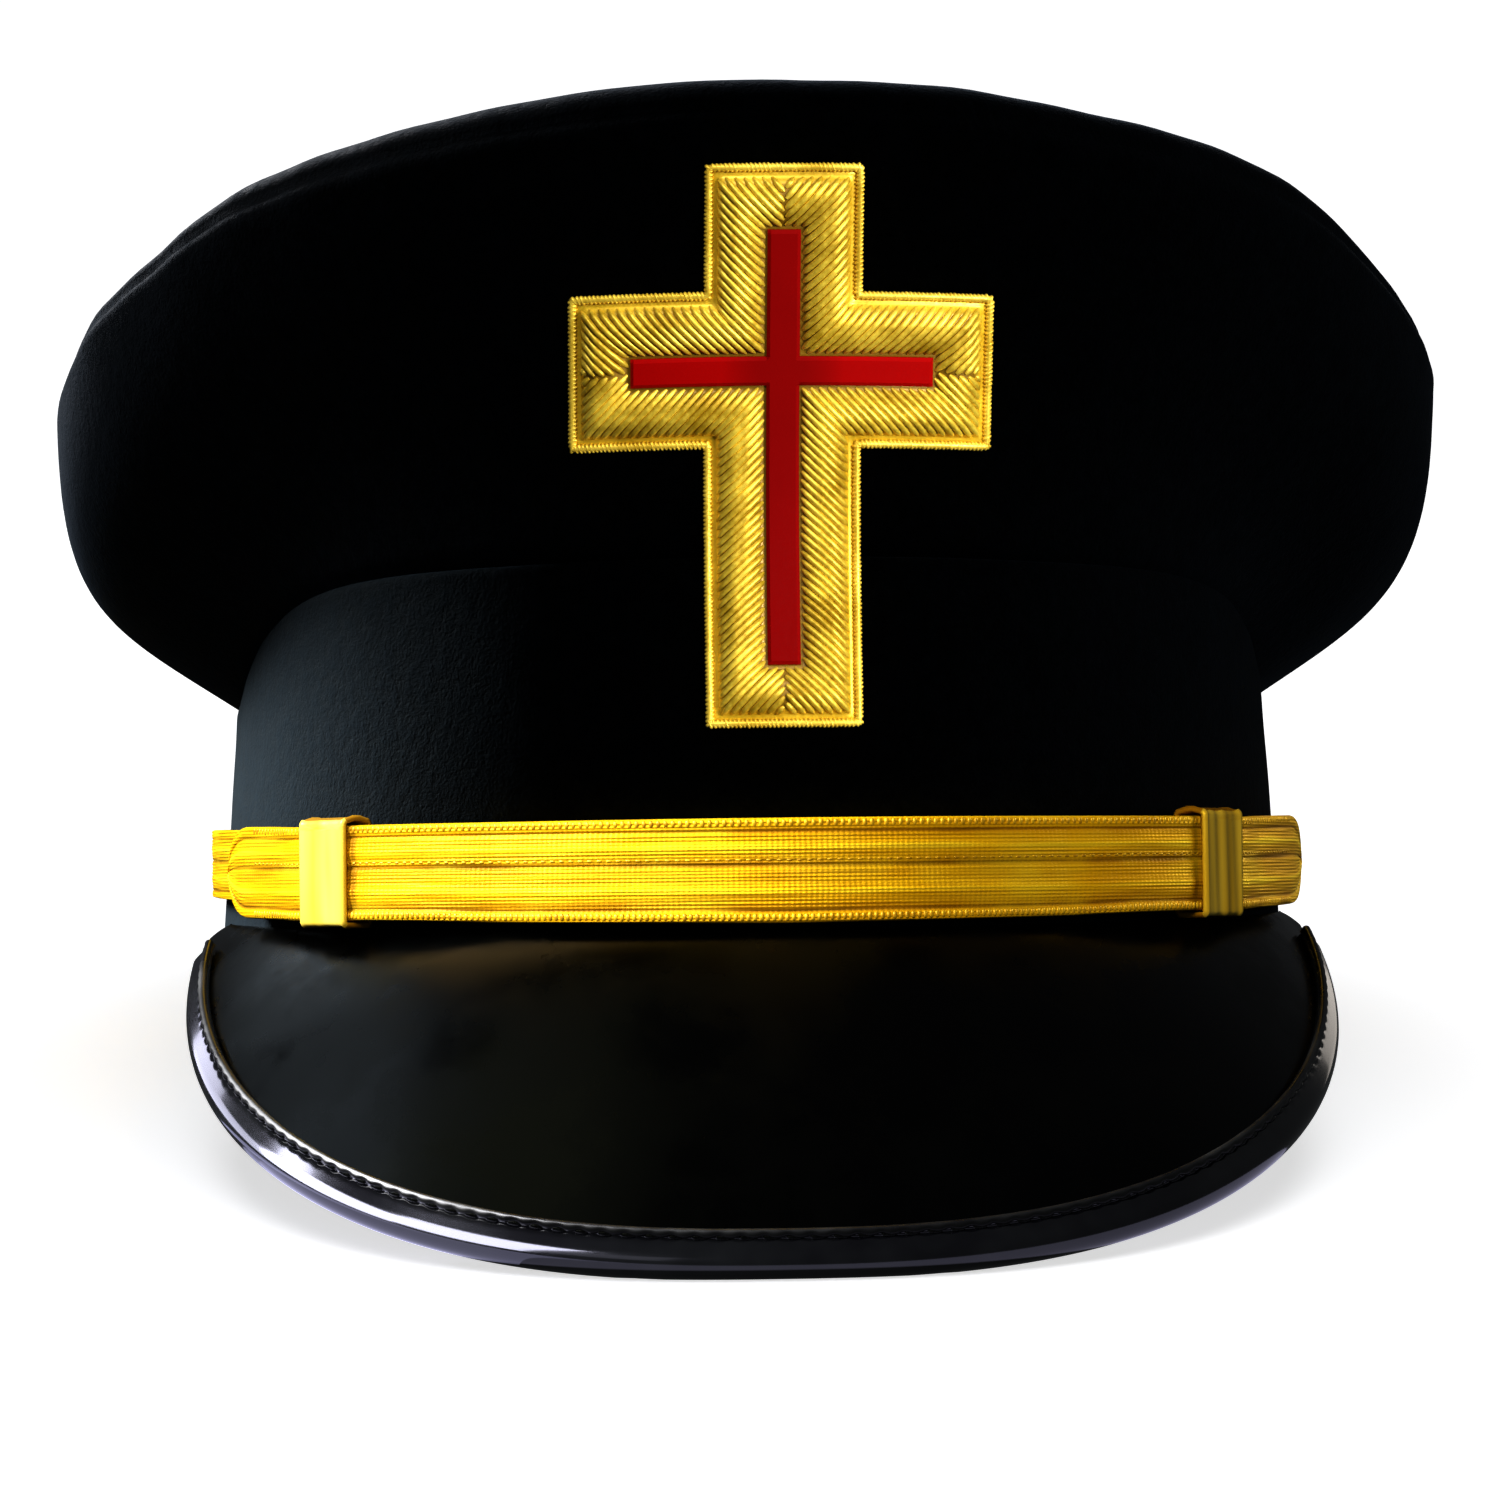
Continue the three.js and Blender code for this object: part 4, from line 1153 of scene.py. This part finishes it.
def frontSurface():  # the front of the cap under the badge, as a smooth function of x and height
    bm = bmesh.new()
    for node in ("band", "crown"):
        bm.from_mesh(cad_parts[node].data)
    lean = Matrix.Rotation(capShape["leanBack"], 4, "X")
    bm.transform((Matrix.Translation(capShape["shift"]) @ lean).inverted())
    tree = BVHTree.FromBMesh(bm)
    bm.free()
    seen = []
    for x in np.linspace(-34, 34, 23) * mm:
        for height in np.linspace(29, 115, 44) * mm:
            hit = tree.ray_cast(Vector((x, -0.3, height)), Vector((0, 1, 0)))[0]
            if hit is not None:
                seen.append((x, height, hit.y))
    seen = np.array(seen)

    def terms(x, height):
        a, b = x / 0.034, (height - 0.072) / 0.043
        return np.stack([a ** (2 * i) * b**j for i in range(3) for j in range(7)], -1)

    weights = np.linalg.lstsq(terms(seen[:, 0], seen[:, 1]), seen[:, 2], rcond=None)[0]
    left = terms(seen[:, 0], seen[:, 1]) @ weights - seen[:, 2]
    print("badge ground fits within", round(float(np.abs(left).max()) * 1000, 2), "mm")
    return lambda x, height: terms(np.asarray(x), np.asarray(height)) @ weights


ground = frontSurface()


def onBadge(x, height, lift):  # a point lifted off the front of the cap
    x, height, lift = np.broadcast_arrays(*[np.asarray(a, float) for a in (x, height, lift)])
    step = 0.2 * mm
    slopeX = (ground(x + step, height) - ground(x - step, height)) / (2 * step)
    slopeZ = (ground(x, height + step) - ground(x, height - step)) / (2 * step)
    normal = unit(np.stack([slopeX, -np.ones_like(slopeX), slopeZ], -1))
    point = np.stack([x, ground(x, height), height], -1)
    return leaned(point + normal * (lift + badge["seat"])[..., None])


def crossCorners(inset):
    b = badge
    stem, bar = b["stemHalf"] - inset, b["barHalf"] - inset
    low, high = b["centreHeight"] - b["barRise"] + inset, b["centreHeight"] + b["barRise"] - inset
    foot, top = b["foot"] + inset, b["top"] - inset
    return np.array([
        (-stem, foot), (stem, foot), (stem, low), (bar, low), (bar, high), (stem, high),
        (stem, top), (-stem, top), (-stem, high), (-bar, high), (-bar, low), (-stem, low)])


def crossRail(inset, segment):
    outline, corners = crossCorners(0), crossCorners(inset)
    rail = []
    for i, corner in enumerate(corners):
        ahead = corners[(i + 1) % 12]
        whole = np.abs(outline[(i + 1) % 12] - outline[i]).sum()
        steps = max(1, round(whole / segment))
        rail += [corner + (ahead - corner) * k / steps for k in range(steps)]
    return np.array(rail)


def insetAt(x, height):  # how far inside the cross's outline a point lies
    b = badge
    stem = np.minimum(b["stemHalf"] - np.abs(x), np.minimum(height - b["foot"], b["top"] - height))
    bar = np.minimum(b["barHalf"] - np.abs(x), b["barRise"] - np.abs(height - b["centreHeight"]))
    return np.maximum(stem, bar)


def paddingLift(across):
    return np.interp(across, *np.transpose(fieldRise) * [[1], [mm]])


fieldInset = badge["borderWidth"] + capShape["clearance"]


def makePadding():  # it runs in under the cord and the inlay, so that no gap shows beside them
    wide, under, sunk = badge["fieldWidth"], badge["underCord"], badge["underInlay"]
    insets = np.concatenate([[-under], np.linspace(0, wide, 25), [wide + sunk]])
    lifts = np.maximum(paddingLift(insets / wide) - badge["underThreads"], 0.3 * mm)
    lifts[:2], lifts[-2:] = 0.4 * mm, 0.6 * mm
    rails = [crossRail(fieldInset + inset, 1.0 * mm) for inset in insets]
    face = np.stack([onBadge(*rail.T, lift) for rail, lift in zip(rails, lifts)], 1)
    back = np.stack([onBadge(*rail.T, 0) for rail in (rails[-1], rails[0])], 1)
    loop = np.concatenate([face, back], 1)
    ring = gridMesh("badge_padding", loop, closedAlong=True, closedAcross=True)
    # 1 at the outer edge, falling to 0 under the threads, where the padding gets painted shade between
    # them
    gapShade = 1 - np.clip((insets - badge["threadStart"] * 0.7) / (0.7 * mm), 0, 1)
    relief = np.concatenate([gapShade, [0, 0]])
    keepValues(ring.data, "relief", np.broadcast_to(relief, (len(rails[0]), len(relief))))
    belongs(ring, "bullion", "cross_field", paint="padding")


# The gold threads lie at 45 degrees, outward from the centre in each quarter of the cross
def threadLines():
    lines = []
    centre = np.array([0, badge["centreHeight"]])
    run = np.arange(-75 * mm, 75 * mm, badge["threadStep"])
    start = fieldInset + badge["threadStart"] * 0.4
    stop = fieldInset + badge["fieldWidth"] - badge["threadStop"]
    for quarter in ((-1, -1), (-1, 1), (1, -1), (1, 1)):
        way = np.array(quarter) / math.sqrt(2)
        side = np.array([-way[1], way[0]])
        for aside in np.arange(-60, 60.01, badge["threadPitch"] / mm) * mm:
            p = centre + way * run[:, None] + side * aside
            inset = insetAt(*p.T)
            inside = (inset > start) & (inset < stop)
            inside &= ((p - centre) * quarter > badge["threadsApart"]).all(1)
            edges = np.flatnonzero(np.diff(np.concatenate([[0], inside.astype(int), [0]])))
            lines += [p[first:last] for first, last in zip(edges[::2], edges[1::2])
                      if (last - first) * badge["threadStep"] > 0.9 * mm]
    return lines


def makeThreads():
    verts, edges, sizes = [], [], []
    for line in threadLines():
        count = max(5, int(len(line) * badge["threadStep"] / badge["threadSegment"]))
        p = line[np.linspace(0, len(line) - 1, count).round().astype(int)]
        across = (insetAt(*p.T) - fieldInset) / badge["fieldWidth"]
        ends = np.minimum(np.arange(count), np.arange(count)[::-1]) / (count - 1)
        narrow = np.clip(ends / 0.12, 0, 1) ** 0.5 * 0.55 + 0.45
        sunk = across * badge["fieldWidth"] / (2.2 * badge["threadStart"])
        sunk = np.clip(1 - sunk, 0, 1) * 0.45 + 0.82
        edges += [(len(verts) + i, len(verts) + i + 1) for i in range(count - 1)]
        verts += [tuple(q) for q in onBadge(*p.T, paddingLift(across) - badge["threadRadius"] * sunk)]
        sizes += list(badge["threadRadius"] * narrow)
    rail = bpy.data.meshes.new("badge_threads")
    rail.from_pydata(verts, edges, [])
    keepValues(rail, "thickness", sizes)
    sweep = Pattern("thread_sweep", Sides="Int")
    curve = sweep.add("GeometryNodeMeshToCurve", {"Mesh": sweep.start["Geometry"]})
    size = sweep.add("GeometryNodeInputNamedAttribute", {"Name": "thickness"}, data_type="FLOAT")
    circle = sweep.add("GeometryNodeCurvePrimitiveCircle", {
        "Radius": 1, "Resolution": sweep.start["Sides"]})
    tubes = sweep.add("GeometryNodeCurveToMesh", {
        "Curve": curve[0], "Profile Curve": circle[0], "Scale": size[0], "Fill Caps": True})
    threads = sweep.finish("badge_threads", rail, tubes[0], "bullion", Sides=badge["threadSides"])
    print("badge threads:", len(threads.data.polygons), "faces")
    belongs(threads, "bullion")


def makeCord():  # a round cord that follows the cross, under the wound wire
    radius = badge["cordRadius"]
    rail = crossRail(badge["borderWidth"] / 2, 0.8 * mm)
    along = unit(np.roll(rail, -1, 0) - np.roll(rail, 1, 0))
    side = np.stack([along[:, 1], -along[:, 0]], -1)
    angle = np.linspace(0, 2 * math.pi, 13)[:-1]
    x, height = (rail[:, None, i] + side[:, None, i] * radius * np.cos(angle) for i in (0, 1))
    cord = gridMesh("badge_cord", onBadge(x, height, radius * np.sin(angle) + badge["cordLift"]),
                    closedAlong=True, closedAcross=True)
    belongs(cord, "bullion", "cross_border", paint="cord")


def makeCoils():
    rail = crossRail(badge["borderWidth"] / 2, 1.0 * mm)
    rail = np.vstack([rail, rail[:1]])
    line = onBadge(*rail.T, badge["cordLift"])
    upright = onBadge(*rail.T, badge["cordLift"] + mm) - line
    stamp = capsule(badge["coilLength"], badge["coilPitch"] * 1.1, 1.15 * mm)
    stamp.transform(Matrix.Rotation(math.pi / 2 + badge["coilTwist"], 4, "Z"))
    belongs(setAlong("badge_coils", line, stamp, badge["coilPitch"], "cord", upright), "bullion")


def makeInlay():
    inset = fieldInset + badge["fieldWidth"] + capShape["clearance"]
    corners = crossCorners(inset)
    stem, bar, low, high = corners[1][0], corners[3][0], corners[2][1], corners[4][1]

    def run(start, end):
        return np.linspace(start, end, max(2, round(abs(end - start) / (0.5 * mm)) + 1))

    columns = np.concatenate([run(-bar, -stem), run(-stem, stem)[1:-1], run(stem, bar)])
    heights = np.concatenate([run(corners[0][1], low), run(low, high)[1:-1], run(high, corners[6][1])])
    x, height = np.meshgrid(columns, heights, indexing="ij")
    toEdge = 1 - np.clip((insetAt(x, height) - inset) / badge["inlayRound"], 0, 1)
    lift = badge["inlayHeight"] - 0.35 * mm * toEdge**2
    index = np.arange(x.size).reshape(x.shape)
    middleX, middleH = (columns[1:] + columns[:-1]) / 2, (heights[1:] + heights[:-1]) / 2
    bm = bmesh.new()
    top, bottom = ([bm.verts.new(p) for p in onBadge(x, height, at).reshape(-1, 3)] for at in (lift, 0))
    for i, cx in enumerate(middleX):
        for j, ch in enumerate(middleH):
            if insetAt(cx, ch) >= inset:
                ring = [index[i, j], index[i + 1, j], index[i + 1, j + 1], index[i, j + 1]]
                bm.faces.new([top[k] for k in ring])
                bm.faces.new([bottom[k] for k in ring[::-1]])
    bm.verts.index_update()
    for edge in [e for e in bm.edges if e.is_boundary and e.verts[0].index < x.size]:
        a, b = (v.index for v in edge.verts)
        bm.faces.new([top[a], top[b], bottom[b], bottom[a]])
    bmesh.ops.delete(bm, geom=[v for v in bm.verts if not v.link_faces], context="VERTS")
    bmesh.ops.recalc_face_normals(bm, faces=bm.faces)
    inlay = added("badge_inlay", meshOf(bm, bpy.data.meshes.new("badge_inlay")))
    belongs(inlay, "red", "cross_inlay", paint="red")


makePadding()
makeThreads()
makeCord()
makeCoils()
makeInlay()
print("badge made")

# Camera, at the photo's angle
view = {
    "place": (-38.24 * mm, -731.54 * mm, 168.66 * mm),
    "yaw": radians(2.964),
    "pitch": radians(8.99),
    "roll": radians(0.14),
    "focalPixels": 4380,
    "imagePixels": 1501,
    "sensor": 36,
}


def makeCamera():
    yaw, pitch, roll = view["yaw"], view["pitch"], view["roll"]
    ahead = Vector((math.sin(yaw) * math.cos(pitch), math.cos(yaw) * math.cos(pitch), -math.sin(pitch)))
    right = ahead.cross(Vector((0, 0, 1))).normalized()
    up = right.cross(ahead)
    tiltedRight = right * math.cos(roll) - up * math.sin(roll)
    tiltedUp = right * math.sin(roll) + up * math.cos(roll)
    lens = bpy.data.cameras.new("camera")
    lens.sensor_width = view["sensor"]
    lens.lens = view["focalPixels"] / view["imagePixels"] * view["sensor"]
    lens.clip_start = 0.01
    camera = added("camera", lens)
    turned = Matrix((tiltedRight, tiltedUp, -ahead)).transposed().to_4x4()
    camera.matrix_world = Matrix.Translation(view["place"]) @ turned
    bpy.context.scene.camera = camera


def atLeft(angle, away, height):  # a lamp's place round the cap's left side, from the front
    return (-away * math.sin(radians(angle)), -away * math.cos(radians(angle)), height)


# Each lamp lights only the parts that it names, as a photographer shades the others from it
cool, sky, violet, deepViolet = (0.97, 0.97, 1), (0.74, 0.88, 1), (0.8, 0.8, 1), (0.66, 0.66, 1)
lamps = table(
    "name lights power size place colour target",
    ("band_side", "band", 68, (0.4, 0.4), atLeft(128, 1.0, 0.5), (0.82, 0.96, 1)),
    ("crown_side", "crown", 9, (0.4, 0.4), atLeft(112, 1.0, 0.9)),
    ("crown_back", "crown", 28, (0.4, 0.4), atLeft(148, 1.0, 0.6)),
    ("strap_left", "strap slide", 38, (0.4, 0.4), atLeft(78, 0.9, 0.75)),
    ("strap_front", "strap", 14, (0.5, 0.5), atLeft(12, 1.1, 0.8), (1, 0.84, 0.5)),
    ("slide_front", "slide", 11, (0.5, 0.5), atLeft(12, 1.1, 0.8), (1, 0.74, 0.16)),
    ("edge_front", "edge", 0.5, (0.5, 0.5), atLeft(22, 1.1, 0.7), violet),
    ("edge_corner", "edge", 43, (0.8, 1.05), atLeft(52, 1.1, 0.7), violet),
    ("edge_left", "edge", 36, (0.9, 0.8), atLeft(88, 1.1, 0.48), violet),
    ("edge_side", "edge", 4, (0.7, 0.4), atLeft(124, 1.1, 0.24), violet),
    ("bead_above", "bead", 60, (1.2, 1.4), (-0.9, 0.15, 0.75)),
    ("bead_front", "bead", 32, (0.9, 0.9), atLeft(72, 0.9, 0.85)),
    ("edge_below", "edge", 0.8, (0.4, 0.4), (-0.3, -0.26, 0.0012), deepViolet, (-0.3, -0.26, 1)),
    ("edge_under", "edge", 0.6, (0.44, 0.4), (-0.26, -0.28, 0.0014), deepViolet, (-0.26, -0.28, 1)),
    ("edge_floor", "edge", 0.75, (0.8, 0.42), (-0.1, -0.3, 0.0016), (0.72, 0.7, 1), (-0.1, -0.3, 1)),
    ("visor_sky", "visor", 0.8, (0.8, 0.7), (-0.62, -0.25, 1.1), (0.9, 1, 0.6), (-0.05, -0.08, 0.03)),
    ("visor_back", "visor", 1.8, (0.7, 0.6), atLeft(152, 1.0, 0.68), sky),
    ("visor_side", "visor", 2.1, (0.8, 0.7), atLeft(100, 1.0, 0.75), sky),
    ("badge_right", "badge", 19.5, (0.35, 0.35), (0.75, -0.9, 0.3)),
    ("badge_front", "badge", 12.5, (0.4, 0.4), (-0.15, -1.15, 1.1)),
    ("fill_back", "band crown strap button badge", 6, (0.9, 0.9), (0.5, 1.6, 0.9)),
    ("fill_side", "band crown", 3, (0.6, 0.6), (1.5, 0.15, 0.5)),
    ("edge_right", "edge", 1.2, (0.7, 0.5), (0.76, 1.17, 0.22), (1, 0.92, 0.84)),
    ("strap_right", "strap button", 11, (0.6, 0.6), (1.4, 0.6, 0.5), (0.97, 0.9, 0.5)),
    ("button_left", "button", 8, (0.5, 0.5), (-1.3, 0.5, 0.6)),
    ("floor_light", "floor", 42, (2.5, 2.5), (0.0, 0.4, 2.4), cool, (0, 0.3, 0)))


def partOf(piece):  # the word by which a lamp names a piece
    return {"visor_rolled_edge": "edge", "visor_bead": "bead"}.get(piece.name, piece.name.split("_")[0])


def makeLamps():
    meshes = [o for o in bpy.context.scene.objects if o.type == "MESH"]
    for lamp in lamps:
        light = bpy.data.lights.new(lamp["name"], "AREA")
        light.shape = "RECTANGLE"
        light.size, light.size_y = lamp["size"]
        light.energy = lamp["power"]
        light.color = lamp.get("colour", cool)
        holder = added(lamp["name"], light)
        holder.location = lamp["place"]
        ahead = Vector(lamp.get("target", (0, 0, 0.08))) - Vector(lamp["place"])
        holder.rotation_euler = ahead.to_track_quat("-Z", "Y").to_euler()
        holder.visible_glossy = lamp["lights"] != "floor"
        holder.visible_camera = False
        lit = bpy.data.collections.new(lamp["name"] + "_lights")
        for piece in meshes:
            if partOf(piece) in lamp["lights"].split():
                lit.objects.link(piece)
        holder.light_linking.receiver_collection = lit


stage = {
    "width": 6.0,
    "front": -2.5,
    "back": 2.2,
    "rise": 2.6,
    "bend": 0.8,  # where the floor turns up into the wall
    "glow": 0.7,
    "sky": 0.06,
    "gamma": 0.86,
}


def makeStage():
    paint = Paint("pale floor")
    mottled = paint.noise(paint.place(), 3, 2, 0.5)
    material = paint.shader(
        Base_Color=paint.mix(mottled, grey(0.86), grey(0.9)), Roughness=0.9, Specular_IOR_Level=0.1,
        Emission_Color=grey(1.0), Emission_Strength=stage["glow"])
    side, start, bend = stage["width"] / 2, stage["back"] - stage["bend"], stage["bend"]
    turned = [(start + bend * math.sin(a), bend - bend * math.cos(a))
              for a in np.linspace(0, math.pi / 2, 13)[1:]]
    profile = [(stage["front"], 0.0), (start, 0.0), *turned, (stage["back"], stage["rise"])]
    floor = gridMesh("floor", np.array([[(x, y, z) for y, z in profile] for x in (-side, side)]))
    floor.data.materials.append(material)
    floor.visible_glossy = False
    floor.visible_diffuse = False
    world = bpy.data.worlds.new("studio")
    world.use_nodes = True
    background = world.node_tree.nodes["Background"]
    background.inputs["Color"].default_value = (0.9, 0.95, 1, 1)
    background.inputs["Strength"].default_value = stage["sky"]
    bpy.context.scene.world = world
    shown = bpy.context.scene.view_settings
    shown.view_transform, shown.look, shown.gamma = "Standard", "None", stage["gamma"]


makeCamera()
makeStage()
makeLamps()
print("stage made")

bpy.context.view_layer.update()
